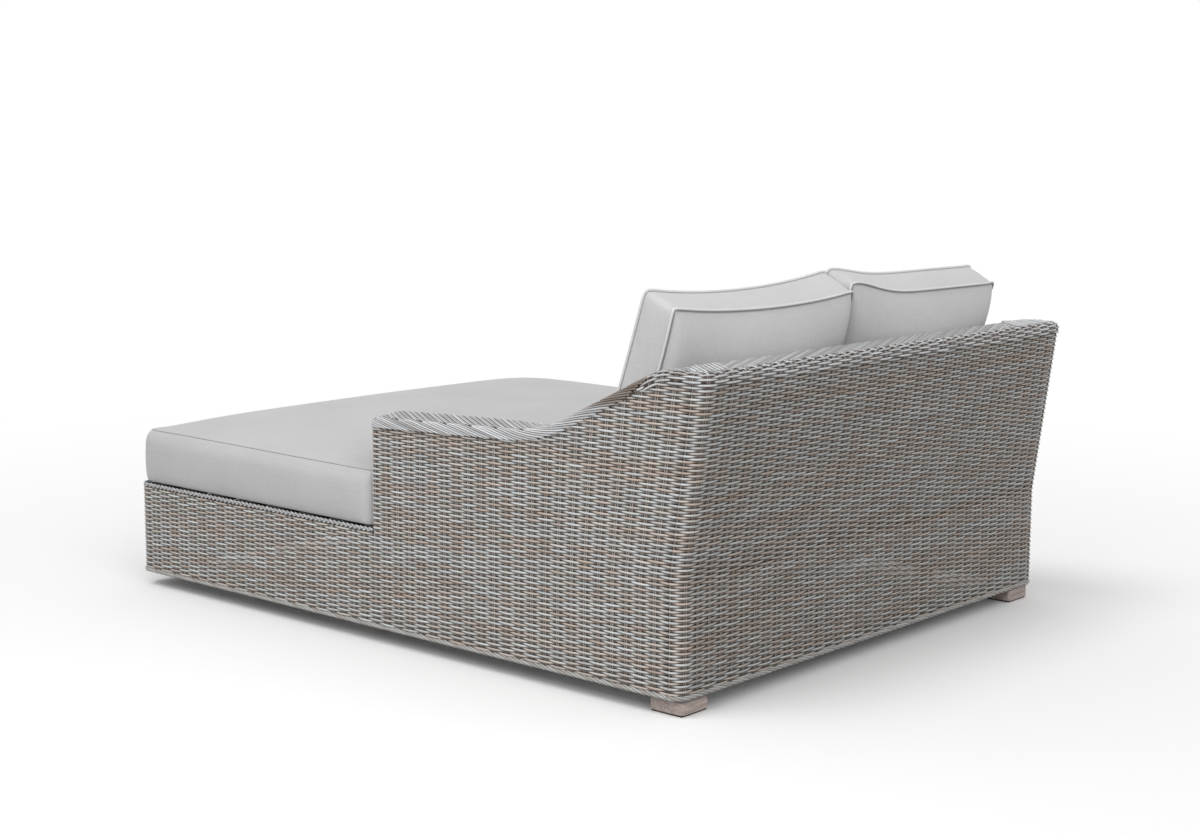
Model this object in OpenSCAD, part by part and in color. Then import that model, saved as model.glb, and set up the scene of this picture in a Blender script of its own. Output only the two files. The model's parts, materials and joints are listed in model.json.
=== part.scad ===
// Double wicker sunbed: a woven base whose low arms sweep up in an ogee into a high back,
// a T-shaped mattress and two loose back cushions. The origin is on the floor under the
// middle, +Y points to the back, and left is the left of someone sitting against it (+X).

/* [Overall size] */
// Width across the outer faces of the woven sides
bed_w = 1622; // [1400:2:1900]
// Length of the woven base along the floor
base_l = 2032; // [1900:2:2300]
// Height of the feet, from the floor to the lower edge of the weave
foot_h = 40; // [34:1:80]
// Height of the woven base wall, up to the seat ledge
base_h = 265; // [200:5:330]
// Height of the top of the arm at its front end
arm_h = 595; // [560:5:640]
// Height of the top of the back
back_h = 800; // [760:5:900]

/* [Arms and back] */
// Length of the arm, from its front end to the foot of the back's rear face
arm_l = 1026; // [900:2:1150]
// Thickness of the arm
arm_t = 116; // [100:2:150]
// Thickness of the back
back_t = 118; // [100:2:150]
// Slope of the arm in front of the ogee
arm_slope = 2.4; // [0:0.2:4]
// Distance from the back's rear face to where the ogee's crest comes level
crest_back = 34; // [20:1:80]
// Steepest slope of the ogee
rise_angle = 26; // [24:1:35]
// Radius of the hollow curve at the foot of the ogee
hollow_r = 450; // [200:10:500]
// Radius of the round crest of the ogee
crest_r = 170; // [100:5:220]
// Height above the floor at which the back starts to lean
bend_h = 318; // [300:2:360]
// Angle at which the back leans out
lean = 7.5; // [3:0.5:10]
// Radius of the upright corners of the back
rear_corner_r = 38; // [38:1:60]
// Radius of the upright corners of the foot end
foot_corner_r = 38; // [38:1:60]

/* [Weave] */
// Thickness of a woven skin
skin_t = 7; // [5:0.5:9]
// Depth of the plaited caps on the arms and the back
cap_t = 26; // [20:1:34]
// How far a cap stands proud of the skins under it
cap_lip = 3; // [1:0.5:6]
// How far an arm's cap overhangs the arm's front end
cap_nose = 7; // [3:1:12]
// Radius of the long upper edges of the caps
cap_edge_r = 18; // [8:1:19]
// Height of the rope braid along the seat ledge
braid_h = 14; // [10:1:18]
// Width of the rope braid
braid_w = 14; // [8:1:20]
// Height of the plaited hem along the lower edge
hem_h = 12; // [8:1:20]
// How far the hem stands proud of the skins
hem_lip = 2; // [1:0.5:4]

/* [Frame] */
// Side of the square tubes
tube = 30; // [24:1:36]
// Wall of the square tubes
wall = 1.8; // [1.2:0.1:3]
// Width of a seat slat
slat_w = 50; // [30:5:80]
// Number of seat slats
slat_n = 15; // [11:1:17]
// Posts along each side of the base
side_posts = 5; // [4:1:6]
// Posts in each arm
arm_posts = 4; // [3:1:5]
// Posts across the back
back_posts = 4; // [3:1:6]

/* [Feet] */
// Side of a square foot block
foot_w = 100; // [80:5:120]
// Inset of the rear feet from the woven sides
rear_foot_inset = 21; // [14:1:60]
// Inset of the other feet from the woven sides
front_foot_inset = 111; // [111:1:200]
// Thickness of a foot's plate
plate_t = 4; // [3:0.5:6]
// Thickness of a foot's glide
glide_t = 4; // [2:0.5:6]
// Diameter of a foot's screw
screw_d = 8; // [6:1:10]

/* [Mattress] */
// Height of the boxing, from the ledge to the top seam
boxing_h = 153; // [120:1:180]
// Height of the crown above the top seam
crown_h = 50; // [20:1:60]
// Distance over which the crown rises from the seam
crown_reach = 105; // [60:5:160]
// How far the boxing bulges past its seams
boxing_bulge = 6; // [2:1:10]
// Gap between the mattress and the caps beside it
mattress_gap = 2; // [1:0.5:8]
// Height that stays of the crown under the back cushions
press_h = 10; // [4:1:16]
// Distance over which the crown sinks to that height
press_fade = 140; // [100:10:200]
// How far the pressed part reaches past the cushions
press_clear = 44; // [20:2:80]

/* [Back cushions] */
// Gap that a back cushion leaves to the middle and to the arm's cap
cushion_gap = 4; // [2:0.5:12]
// Height of a back cushion along its slope
cushion_h = 530; // [460:5:560]
// Width of a back cushion's boxing
cushion_t = 92; // [70:2:110]
// Angle at which a back cushion leans back
cushion_lean = 20; // [14:1:24]
// Crown of the front panel
front_crown = 48; // [20:1:60]
// Crown of the rear panel
rear_crown = 105; // [60:1:105]
// How far the edges draw in between the corners
draw_in = 16; // [6:1:24]
// Distance from the back's rear face to the middle of a cushion's top edge
cushion_back = 159; // [159:1:190]

/* [Hidden] */
$fn = 48;
seat_h = foot_h + base_h;
deck_h = seat_h - braid_h;
half_w = bed_w / 2;
inner_x = half_w - arm_t;
cap_under = back_h - cap_t;
back_out = (cap_under - bend_h) * tan(lean);
rear_y = (base_l + hem_lip - back_out - cap_lip) / 2;
soft_gap = 0.3;
arc_steps = 6;
rail_in = skin_t + tube;
arm_y0 = -arm_l + skin_t;

// Ogee, as [y, z]: the crest arc's centre and start, then the steep straight is followed down
// to the hollow arc, whose start lies on the arm's sloping top line
crest_c = [-crest_back, back_h - crest_r];
crest_start = crest_c + crest_r * [-sin(rise_angle), cos(rise_angle)];
arc_run = hollow_r * (sin(rise_angle) - sin(arm_slope));
arc_rise = hollow_r * (cos(arm_slope) - cos(rise_angle));
low_z = arm_h + (crest_start[0] - arc_run + arm_l) * tan(arm_slope);
steep_run = (crest_start[1] - low_z - arc_rise) / (tan(rise_angle) - tan(arm_slope));
rise_y = crest_start[0] - steep_run - arc_run;
rise_z = arm_h + (rise_y + arm_l) * tan(arm_slope);
hollow_c = [rise_y - hollow_r * sin(arm_slope), rise_z + hollow_r * cos(arm_slope)];

// Places along Y of what stands on the frame
slat_y0 = -base_l + rail_in + slat_w;
slat_pitch = (base_l - back_t - rail_in - 1.6 * slat_w) / (slat_n - 1);
cross_y = slat_y0 + floor(slat_n / 2) * slat_pitch - slat_pitch / 2;
function slat_y(i) = slat_y0 + i * slat_pitch;
first_arm_slat = ceil((-arm_l + tube - slat_y0) / slat_pitch + 0.2);
arm_slat_step = (slat_n - 2 - first_arm_slat) / (arm_posts - 1);
function arm_post_y(i) = i == 0
    ? -arm_l + rail_in - tube / 2
    : slat_y(first_arm_slat + round(i * arm_slat_step)) + slat_pitch / 2;
function side_post_y(i) = -base_l + foot_corner_r + tube
    + i * (base_l - foot_corner_r - rear_corner_r - 2 * tube) / (side_posts - 1);
function back_post_x(i) = -half_w + rear_corner_r + tube
    + i * (bed_w - 2 * rear_corner_r - 2 * tube) / (back_posts - 1);

// Feet as [x, y] of their centres, and of their screws, which miss the rails above
rear_foot_x = half_w - rear_foot_inset - foot_w / 2;
front_foot_x = half_w - front_foot_inset - foot_w / 2;
foot_end_y = -base_l + skin_t + foot_w / 2 + 3;
foot_mid_y = cross_y - foot_w / 2 + tube / 2;
foot_rear_y = -skin_t - foot_w / 2 - 3;
FEET = [
    for (side = [-1, 1]) each [
        [side * front_foot_x, foot_end_y],
        [side * front_foot_x, foot_mid_y],
        [side * rear_foot_x, foot_rear_y]
    ]
];

// Mattress outline and rest plane of the cushions
mattress_wide = half_w + cap_lip;
mattress_narrow = inner_x - cap_lip - mattress_gap;
mattress_front = -base_l + skin_t + boxing_bulge;
mattress_rear = lean_y(back_t, seat_h) - mattress_gap;
notch_y = -arm_l - cap_nose - mattress_gap;
seam_z = seat_h + boxing_h;
rest_z = seam_z + press_h + soft_gap;
cushion_w = inner_x - cap_lip - 2 * cushion_gap;
cushion_x = (inner_x - cap_lip) / 2;
cushion_top_z = rest_z + (cushion_h - 16) * cos(cushion_lean);

// Everything below is drawn with the foot of the back's rear face at y = 0
module seated() { translate([0, rear_y, 0]) children(); }
module right_side() { mirror([1, 0, 0]) children(); }

// An outline in Y and Z, extruded from x0 by t along X
module yz_plate(x0, t, points) {
    translate([x0, 0, 0]) rotate([90, 0, 90]) linear_extrude(t) polygon(points);
}

// Square tubes along each axis, from a low corner
module tube_x(p, length, w = tube, h = tube) {
    translate(p) difference() {
        cube([length, w, h]);
        translate([-1, wall, wall]) cube([length + 2, w - 2 * wall, h - 2 * wall]);
    }
}
module tube_y(p, length) {
    translate(p) difference() {
        cube([tube, length, tube]);
        translate([wall, -1, wall]) cube([tube - 2 * wall, length + 2, tube - 2 * wall]);
    }
}
module tube_z(p, length) {
    translate(p) difference() {
        cube([tube, tube, length]);
        translate([wall, wall, -1]) cube([tube - 2 * wall, tube - 2 * wall, length + 2]);
    }
}

// The arm's top line moved down by d: straight, hollow arc, straight, crest arc
function ogee(d) = concat(
    [for (i = [0:arc_steps])
        let (a = arm_slope + (rise_angle - arm_slope) * i / arc_steps)
        hollow_c + (hollow_r + d) * [sin(a), -cos(a)]],
    [for (i = [0:arc_steps])
        let (a = crest_angle(i))
        crest_c + (crest_r - d) * [-sin(a), cos(a)]]
);
function arm_front_z(d) = arm_h - d / cos(arm_slope);
// Y of the plane at a depth, square to the back's leaning outer face, at a height
function lean_y(offset, z) = -offset / cos(lean) + (z - bend_h) * tan(lean);

// Plan of the base's rounded end, set in by d, with its straight run towards -Y
module end_plan(r, d) {
    translate([-half_w + r, -r]) square([bed_w - 2 * r, r - d]);
    for (side = [-1, 1]) translate([side * (half_w - r), -r]) circle(r - d);
}

// A band around a rounded end, between two depths from its outer face
module end_band(r, d0, d1) {
    difference() {
        intersection() {
            end_plan(r, d0);
            translate([-bed_w, -r]) square([2 * bed_w, 2 * r]);
        }
        union() {
            end_plan(r, d1);
            translate([-half_w + d1, -2 * r]) square([bed_w - 2 * d1, r]);
        }
    }
}

// Rounded end band between two heights, upright
module upright_end(r, d0, d1, z0, z1) {
    translate([0, 0, z0]) linear_extrude(z1 - z0) end_band(r, d0, d1);
}

// The same band as a bent square tube, open at its two ends
module bent_end_tube(r, z0) {
    difference() {
        upright_end(r, skin_t, rail_in, z0, z0 + tube);
        upright_end(r, skin_t + wall, rail_in - wall, z0 + wall, z0 + tube - wall);
    }
}

// The base's far end turned to face -Y
module at_foot_end() { translate([0, -base_l, 0]) mirror([0, 1, 0]) children(); }

module side_rail(z0) {
    tube_y([half_w - rail_in, -base_l + foot_corner_r, z0], base_l - foot_corner_r - rear_corner_r);
}

module lower_rail_left() color("dimgray") seated() side_rail(foot_h);
module lower_rail_right() color("dimgray") seated() right_side() side_rail(foot_h);
module lower_rail_head() color("dimgray") seated() bent_end_tube(rear_corner_r, foot_h);
module lower_rail_foot() color("dimgray") seated() at_foot_end() bent_end_tube(foot_corner_r, foot_h);
module upper_rail_left() color("dimgray") seated() side_rail(deck_h - tube);
module upper_rail_right() color("dimgray") seated() right_side() side_rail(deck_h - tube);
module upper_rail_head() color("dimgray") seated() bent_end_tube(rear_corner_r, deck_h - tube);
module upper_rail_foot() {
    color("dimgray") seated() at_foot_end() bent_end_tube(foot_corner_r, deck_h - tube);
}

// Posts between the lower and upper rails
module base_posts() color("dimgray") seated() {
    post_z = foot_h + tube;
    for (side = [-1, 1], i = [0:side_posts - 1]) {
        x = side > 0 ? half_w - rail_in : -half_w + skin_t;
        tube_z([x, side_post_y(i) - tube / 2, post_z], deck_h - tube - post_z);
    }
    for (i = [1:back_posts - 2], y = [-rail_in, -base_l + skin_t])
        tube_z([back_post_x(i) - tube / 2, y, post_z], deck_h - tube - post_z);
}

// The rail across the middle of the base, which carries the middle feet
module cross_rail() color("dimgray") seated() {
    tube_x([-half_w + rail_in, cross_y - tube / 2, foot_h], bed_w - 2 * rail_in);
}

// The beam along the middle under the slats
module centre_beam() color("dimgray") seated() {
    tube_y([-tube / 2, -base_l + rail_in, deck_h - tube], base_l - back_t + skin_t - rail_in);
}

// The post between the cross rail and the beam
module centre_posts() color("dimgray") seated() {
    post_z = foot_h + tube;
    tube_z([-tube / 2, cross_y - tube / 2, post_z], deck_h - tube - post_z);
}

// Inner sills under the arms, level with the upper rails
module arm_sills() color("dimgray") seated() {
    y0 = -arm_l + skin_t;
    for (x = [-inner_x - skin_t - tube, inner_x + skin_t])
        tube_y([x, y0, deck_h - tube], arm_l - back_t);
}

// The inner sill under the back, between the ends of the side rails
module back_sill() color("dimgray") seated() {
    tube_x([-half_w + rail_in, -back_t + skin_t, deck_h - tube], bed_w - 2 * rail_in);
}

// Flat tubes across the base, lying on its rails with their tops level with the ledge
module seat_slats() color("gray") seated() {
    for (i = [0:slat_n - 1])
        tube_x([-half_w + braid_w, slat_y(i) - slat_w / 2, deck_h], bed_w - 2 * braid_w, slat_w, braid_h);
}

// Side view of an arm rail between two depths under the arm's top line
function arm_rail_outline(y0, offset, d0, d1) = let (z0 = back_h - d0, z1 = back_h - d1) concat(
    [[y0, arm_front_z(d0) + (y0 + arm_l) * tan(arm_slope)]],
    ogee(d0),
    [[lean_y(offset, z0), z0], [lean_y(offset, z1), z1]],
    [for (i = [2 * arc_steps + 1:-1:0]) ogee(d1)[i]],
    [[y0, arm_front_z(d1) + (y0 + arm_l) * tan(arm_slope)]]
);

// A bent square tube under an arm's cap, ending at a distance from the back's outer face
module arm_rail(x0, offset) {
    difference() {
        yz_plate(x0, tube, arm_rail_outline(arm_y0, offset, cap_t, cap_t + tube));
        yz_plate(x0 + wall, tube - 2 * wall,
            arm_rail_outline(arm_y0 - 1, offset - 1, cap_t + wall, cap_t + tube - wall));
    }
}

module arm_rail_outer_left() color("dimgray") seated() arm_rail(half_w - rail_in, rear_corner_r);
module arm_rail_outer_right() {
    color("dimgray") seated() right_side() arm_rail(half_w - rail_in, rear_corner_r);
}
module arm_rail_inner_left() color("dimgray") seated() arm_rail(inner_x + skin_t, back_t - rail_in);
module arm_rail_inner_right() {
    color("dimgray") seated() right_side() arm_rail(inner_x + skin_t, back_t - rail_in);
}

// Everything under an arm's rails, as a side view
function under_arm_rails(z0) = let (d = cap_t + tube) concat(
    [[-2 * base_l, z0], [-2 * base_l, arm_front_z(d) - (2 * base_l - arm_l) * tan(arm_slope)]],
    ogee(d),
    [[base_l, back_h - d], [base_l, z0]]
);

// Posts of one arm, outer ones on the side rail and inner ones on the sill
module arm_post_set() {
    intersection() {
        for (x = [inner_x + skin_t, half_w - rail_in], i = [0:arm_posts - 1])
            tube_z([x, arm_post_y(i) - tube / 2, deck_h], back_h - deck_h);
        yz_plate(0, half_w, under_arm_rails(deck_h));
    }
}
module arm_posts_left() color("dimgray") seated() arm_post_set();
module arm_posts_right() color("dimgray") seated() right_side() arm_post_set();

// Short ties between the outer and inner posts of each arm
module arm_ties() color("dimgray") seated() {
    tie_z = (seat_h + arm_h) / 2;
    gap = arm_t - 2 * rail_in;
    for (i = [0:arm_posts - 1], x = [-half_w + rail_in, half_w - rail_in - gap])
        tube_x([x, arm_post_y(i) - tube / 2, tie_z], gap);
}

// Bands of the back tipped with its leaning part, between two depths
module leaning_end(d0, d1, z0, z1) {
    between(z0, z1) translate([0, 0, bend_h]) rotate([-lean, 0, 0]) translate([0, 0, -tube])
        linear_extrude(back_h) end_band(rear_corner_r, d0, d1);
}

// Everything above the mitre where the upright and the leaning part of the back meet
module above_mitre() {
    translate([0, 0, bend_h]) rotate([-lean / 2, 0, 0])
        translate([-bed_w, -base_l, 0]) cube([2 * bed_w, 2 * base_l, back_h]);
}

// The rail under the back's cap, bent at both ends to meet the arms' outer rails
module back_top_rail() color("dimgray") seated() {
    difference() {
        leaning_end(skin_t, rail_in, cap_under - tube, cap_under);
        leaning_end(skin_t + wall, rail_in - wall, cap_under - tube + wall, cap_under - wall);
    }
}

// Cuts its children to what lies between two heights
module between(z0, z1) {
    intersection() {
        children();
        translate([-bed_w, -base_l, z0]) cube([2 * bed_w, 2 * base_l, z1 - z0]);
    }
}

// A leaning bar across the back, between two distances from its outer face
module leaning_bar(x0, x1, d0, d1, z0, z1) {
    yz_plate(x0, x1 - x0, [
        [lean_y(d1, z0), z0], [lean_y(d0, z0), z0], [lean_y(d0, z1), z1], [lean_y(d1, z1), z1]
    ]);
}

// The rail inside the back's inner skin, between the arms' inner rails
module back_inner_rail() color("dimgray") seated() {
    z0 = cap_under - tube;
    x = inner_x + skin_t;
    near = back_t - skin_t;
    difference() {
        leaning_bar(-x, x, near - tube, near, z0, cap_under);
        leaning_bar(-x - 1, x + 1, near - tube + wall, near - wall, z0 + wall, cap_under - wall);
    }
}

// A leaning square tube under the back's rails
module back_post(x, d0) {
    difference() {
        leaning_bar(x - tube / 2, x + tube / 2, d0, d0 + tube, deck_h, cap_under - tube);
        leaning_bar(x - tube / 2 + wall, x + tube / 2 - wall, d0 + wall, d0 + tube - wall,
            deck_h - 1, cap_under);
    }
}

// Posts of the back: outer ones on the head rail and inner ones on the sill
module back_posts() color("dimgray") seated() {
    for (i = [0:back_posts - 1]) back_post(back_post_x(i), skin_t);
    for (i = [0:back_posts - 1]) {
        x = back_post_x(i) * (inner_x - tube) / (half_w - rear_corner_r - tube);
        back_post(x, back_t - rail_in);
    }
}

// Short ties between the outer and inner rails of the back
module back_ties() color("dimgray") seated() {
    z0 = cap_under - tube;
    for (i = [0:back_posts - 1])
        leaning_bar(back_post_x(i) * 0.9 - tube / 2, back_post_x(i) * 0.9 + tube / 2,
            rail_in, back_t - rail_in, z0, cap_under);
}

// Plates welded under the rails, drilled for the screws
module foot_plates() color("dimgray") seated() {
    for (p = FEET) translate([p[0], p[1], foot_h - plate_t]) difference() {
        translate([-foot_w / 2, -foot_w / 2, 0]) cube([foot_w, foot_w, plate_t]);
        translate([0, 0, -1]) cylinder(d = screw_d + 1, h = plate_t + 2);
    }
}

// Weld nuts on the plates
module foot_nuts() color("silver") seated() {
    for (p = FEET) translate([p[0], p[1], foot_h]) difference() {
        cylinder(d = 1.85 * screw_d, h = 0.8 * screw_d, $fn = 6);
        translate([0, 0, -1]) cylinder(d = screw_d + 0.2, h = screw_d + 2);
    }
}

// Screws from a counterbore in each foot, through its plate and into its nut
head_h = 0.65 * screw_d;
bore_h = head_h + 2;
module foot_screws() color("silver") seated() {
    for (p = FEET) translate([p[0], p[1], glide_t + 2]) {
        cylinder(d = 1.6 * screw_d, h = head_h);
        translate([0, 0, head_h]) cylinder(d = screw_d, h = foot_h - glide_t - 2 + 0.8 * screw_d - head_h);
    }
}

// Square foot blocks
module feet() color("rosybrown") seated() {
    block_h = foot_h - plate_t - glide_t;
    for (p = FEET) translate([p[0], p[1], glide_t]) difference() {
        translate([-foot_w / 2, -foot_w / 2, 0]) cube([foot_w, foot_w, block_h]);
        translate([0, 0, -1]) cylinder(d = screw_d + 1, h = block_h + 2);
        translate([0, 0, -1]) cylinder(d = 2 * screw_d, h = bore_h + 1);
    }
}

// Plastic glides that close the counterbores
module foot_glides() color("black") seated() {
    glide_w = foot_w - 10;
    for (p = FEET) translate([p[0] - glide_w / 2, p[1] - glide_w / 2, 0]) cube([glide_w, glide_w, glide_t]);
}

// Outline of a woven side: base wall, arm front, ogee and leaning rear edge
function side_outline() = let (z0 = foot_h + hem_h, r = rear_corner_r, z1 = cap_under) concat(
    [[-base_l + foot_corner_r, z0], [-base_l + foot_corner_r, deck_h], [-arm_l, deck_h]],
    [[-arm_l, arm_front_z(cap_t)]],
    ogee(cap_t),
    [[lean_y(r, z1), z1], [-r, bend_h + r * tan(lean / 2)], [-r, z0]]
);
module side_weave_left() color("tan") seated() yz_plate(half_w - skin_t, skin_t, side_outline());
module side_weave_right() {
    color("tan") seated() right_side() yz_plate(half_w - skin_t, skin_t, side_outline());
}

// The back's outer skin below the bend, upright, with round corners
module back_base_weave() color("tan") seated() {
    difference() {
        upright_end(rear_corner_r, 0, skin_t, foot_h + hem_h, bend_h + tube);
        above_mitre();
    }
}

// The back's outer skin above the bend, leaning, up to the cap
module back_weave() color("tan") seated() {
    intersection() {
        leaning_end(0, skin_t, bend_h - tube / 2, cap_under);
        above_mitre();
    }
}

module foot_end_weave() color("tan") seated() {
    at_foot_end() upright_end(foot_corner_r, 0, skin_t, foot_h + hem_h, deck_h);
}

// Inner skin of an arm, from the seat to the cap and back to the back's inner skin
function arm_inner_outline() = let (
    z0 = seat_h, y1 = lean_y(back_t, cap_under),
    z1 = crest_height(y1, crest_r - cap_t) - soft_gap
) concat(
    [[-arm_l, z0], [-arm_l, arm_front_z(cap_t)]],
    [for (p = ogee(cap_t)) if (p[0] < y1) p],
    [[lean_y(back_t, z1), z1], [lean_y(back_t, z0), z0]]
);
module arm_inner_weave_left() color("tan") seated() yz_plate(inner_x, skin_t, arm_inner_outline());
module arm_inner_weave_right() {
    color("tan") seated() right_side() yz_plate(inner_x, skin_t, arm_inner_outline());
}

module back_inner_weave() color("tan") seated() {
    x = inner_x + skin_t;
    leaning_bar(-x, x, back_t - skin_t, back_t, seat_h, cap_under);
}

// The woven front end of an arm, between its outer and inner skins
module arm_front() {
    z_top = arm_front_z(cap_t);
    translate([inner_x + skin_t, -arm_l, seat_h])
        cube([arm_t - 2 * skin_t, skin_t, z_top - seat_h]);
}
module arm_front_weave_left() color("tan") seated() arm_front();
module arm_front_weave_right() color("tan") seated() right_side() arm_front();

// Cap section across an arm, as [x, height under the top], round at both upper edges
function cap_section(x0, x1) = concat(
    [[x0, -cap_t]],
    [for (i = [0:4]) let (a = 90 * i / 4)
        [x0 + cap_edge_r * (1 - cos(a)), -cap_edge_r * (1 - sin(a))]],
    [for (i = [0:4]) let (a = 90 * i / 4)
        [x1 - cap_edge_r * (1 - sin(a)), -cap_edge_r * (1 - cos(a))]],
    [[x1, -cap_t]]
);

// Stations along an arm's cap: [y, z of the top, slope, inner edge, outer edge, share of the
// depth, depth]; behind the back cap's front edge the inner edge steps out to its end
cap_front = lean_y(back_t, cap_under) - cap_lip;
cap_rear = back_out + cap_lip;
cap_in = inner_x - cap_lip;
cap_joint = inner_x + skin_t;
cap_corner_r = rear_corner_r + cap_lip;
cap_out = half_w + cap_lip;
nose_steps = [[0, 0.3], [0.1, 0.62], [0.35, 0.83], [1, 1]];
joint_step = 0.5;
function crest_angle(i) = rise_angle * (1 - i / arc_steps);
function crest_y(i) = crest_c[0] - (crest_r - cap_t) * sin(crest_angle(i));
function crest_height(y, r) = crest_c[1] + sqrt(r * r - pow(min(0, y - crest_c[0]), 2));
function level_station(y, x_in) = let (z = crest_height(y, crest_r))
    [y, z, 0, x_in, cap_out, 1, z - crest_height(y, crest_r - cap_t)];
function cap_stations() = concat(
    [for (s = nose_steps)
        let (y = -arm_l - cap_nose + s[0] * cap_edge_r)
        [y, arm_h + (y + arm_l) * tan(arm_slope), arm_slope, cap_in, cap_out, s[1], cap_t]],
    [for (i = [0:arc_steps])
        let (a = arm_slope + (rise_angle - arm_slope) * i / arc_steps, p = hollow_c + hollow_r * [sin(a), -cos(a)])
        [p[0], p[1], a, cap_in, cap_out, 1, cap_t]],
    [for (i = [0:arc_steps]) if (crest_y(i) < cap_front - 1)
        let (a = crest_angle(i), p = crest_c + crest_r * [-sin(a), cos(a)])
        [p[0], p[1], a, cap_in, cap_out, 1, cap_t]],
    [level_station(cap_front - joint_step, cap_in), level_station(cap_front, cap_joint)],
    [for (i = [0:arc_steps]) if (crest_y(i) > cap_front + 1) level_station(crest_y(i), cap_joint)],
    [for (a = [0, 15, 30, 45, 60, 75, 86])
        let (y = cap_rear - cap_corner_r * (1 - sin(a)), edge = max(0, 1 - (cap_rear - y) / cap_edge_r))
        [y, back_h, 0, cap_joint, cap_out - cap_corner_r * (1 - cos(a)),
            1 - (1 - sqrt(1 - pow(edge, 2))) * cap_edge_r / cap_t, cap_t]]
);

// An arm's cap: the section carried along the stations, each point set square to the slope
module arm_cap() {
    stations = cap_stations();
    n = len(cap_section(0, 1));
    points = [for (s = stations) for (q = cap_section(s[3], s[4]))
        let (h = (-1 + (q[1] + cap_t) / cap_t * s[5]) * s[6])
        [q[0], s[0] - h * sin(s[2]), s[1] + h * cos(s[2])]];
    last = (len(stations) - 1) * n;
    faces = concat(
        [[for (i = [0:n - 1]) n - 1 - i]],
        [for (k = [0:len(stations) - 2], i = [0:n - 1]) let (j = (i + 1) % n)
            each [[k * n + i, k * n + j, (k + 1) * n + i], [k * n + j, (k + 1) * n + j, (k + 1) * n + i]]],
        [[for (i = [0:n - 1]) last + i]]
    );
    polyhedron(points, faces);
}
module arm_cap_left() color("linen") seated() arm_cap();
module arm_cap_right() color("linen") seated() right_side() arm_cap();

// The back's cap between the arms' caps, with both long upper edges round
module back_cap() color("linen") seated() {
    x = cap_joint;
    yz_plate(-x, 2 * x, [for (p = cap_section(cap_front, cap_rear)) [p[0], p[1] + back_h]]);
}

// Rope braid along the ledge: half-round strips on both sides and around the foot end
module ledge_braid() color("gainsboro") seated() {
    for (x = [-half_w, half_w - braid_w])
        translate([x, -base_l + foot_corner_r, deck_h])
            cube([braid_w, base_l - foot_corner_r - arm_l, braid_h]);
    at_foot_end() upright_end(foot_corner_r, 0, braid_w, deck_h, seat_h);
}

// Plaited hem around the lower edge, a strip on each side and one around each end
module hem_braid() color("gainsboro") seated() {
    for (x = [-half_w - hem_lip, half_w - skin_t])
        translate([x, -base_l + foot_corner_r, foot_h])
            cube([skin_t + hem_lip, base_l - foot_corner_r - rear_corner_r, hem_h]);
    upright_end(rear_corner_r, -hem_lip, skin_t, foot_h, foot_h + hem_h);
    at_foot_end() upright_end(foot_corner_r, -hem_lip, skin_t, foot_h, foot_h + hem_h);
}

// How much of the crown stands at a distance from an edge
function rise(distance) = 1 - exp(-max(0, distance) / crown_reach);
function smooth(t) = let (c = min(1, max(0, t))) c * c * (3 - 2 * c);
press_y1 = -cushion_back - cushion_h * sin(cushion_lean) - cushion_t / 2 - front_crown - press_clear;
press_y0 = press_y1 - press_fade;

// Height of the mattress's top panel: crowned, drawn down to the seam at every edge and
// at the notches for the arms, and pressed down under the cushions
function mattress_top(x, y) = let (
    notch = norm([max(0, mattress_narrow - abs(x)), max(0, notch_y - y)]),
    pressed = smooth((y - press_y0) / (press_y1 - press_y0)),
    share = rise(mattress_wide - abs(x)) * rise(y - mattress_front) * rise(mattress_rear - y) * rise(notch)
) seam_z + crown_h * share * (1 - pressed) + press_h * min(1, 2 * share) * pressed;

// Rows along the mattress as [y, half width], close together at the edges and the notches
mattress_rows = concat(
    [for (t = [0, 0.012, 0.035, 0.08, 0.16, 0.3, 0.45, 0.6, 0.75, 0.88, 0.95, 0.985, 1])
        [mattress_front + t * (notch_y - boxing_bulge - mattress_front), mattress_wide]],
    [for (t = [0, 0.04, 0.1, 0.2, 0.32, 0.44, 0.5, 0.56, 0.62, 0.68, 0.76, 0.88, 0.96, 1])
        [notch_y + t * (mattress_rear - notch_y), mattress_narrow]]
);
mattress_cols = [-1, -0.985, -0.95, -0.88, -0.75, -0.5, -0.2, 0.2, 0.5, 0.75, 0.88, 0.95, 0.985, 1];

// A grid of points joined into a closed cushion: a top and a bottom panel that meet a
// ring of boxing, whose middle line is given by its own ring of points
function grid_faces(rows, cols, start, up) = [
    for (i = [0:rows - 2], j = [0:cols - 2])
        let (a = start + i * cols + j, b = a + 1, c = a + cols, d = c + 1)
        each up ? [[a, c, b], [b, c, d]] : [[a, b, c], [b, d, c]]
];
function rim(rows, cols) = concat(
    [for (j = [0:cols - 2]) j],
    [for (i = [0:rows - 2]) i * cols + cols - 1],
    [for (j = [cols - 1:-1:1]) (rows - 1) * cols + j],
    [for (i = [rows - 1:-1:1]) i * cols]
);
function band_faces(upper, lower) = let (n = len(upper)) [
    for (i = [0:n - 1]) let (j = (i + 1) % n)
        each [[upper[i], upper[j], lower[i]], [upper[j], lower[j], lower[i]]]
];

module soft_form(top, bottom, middle, rows, cols) {
    n = rows * cols;
    edge = rim(rows, cols);
    low_edge = [for (e = edge) e + n];
    mid_edge = [for (i = [0:len(edge) - 1]) 2 * n + i];
    polyhedron(concat(top, bottom, middle), concat(
        grid_faces(rows, cols, 0, true), grid_faces(rows, cols, n, false),
        band_faces(edge, mid_edge), band_faces(mid_edge, low_edge)
    ));
}

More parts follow.
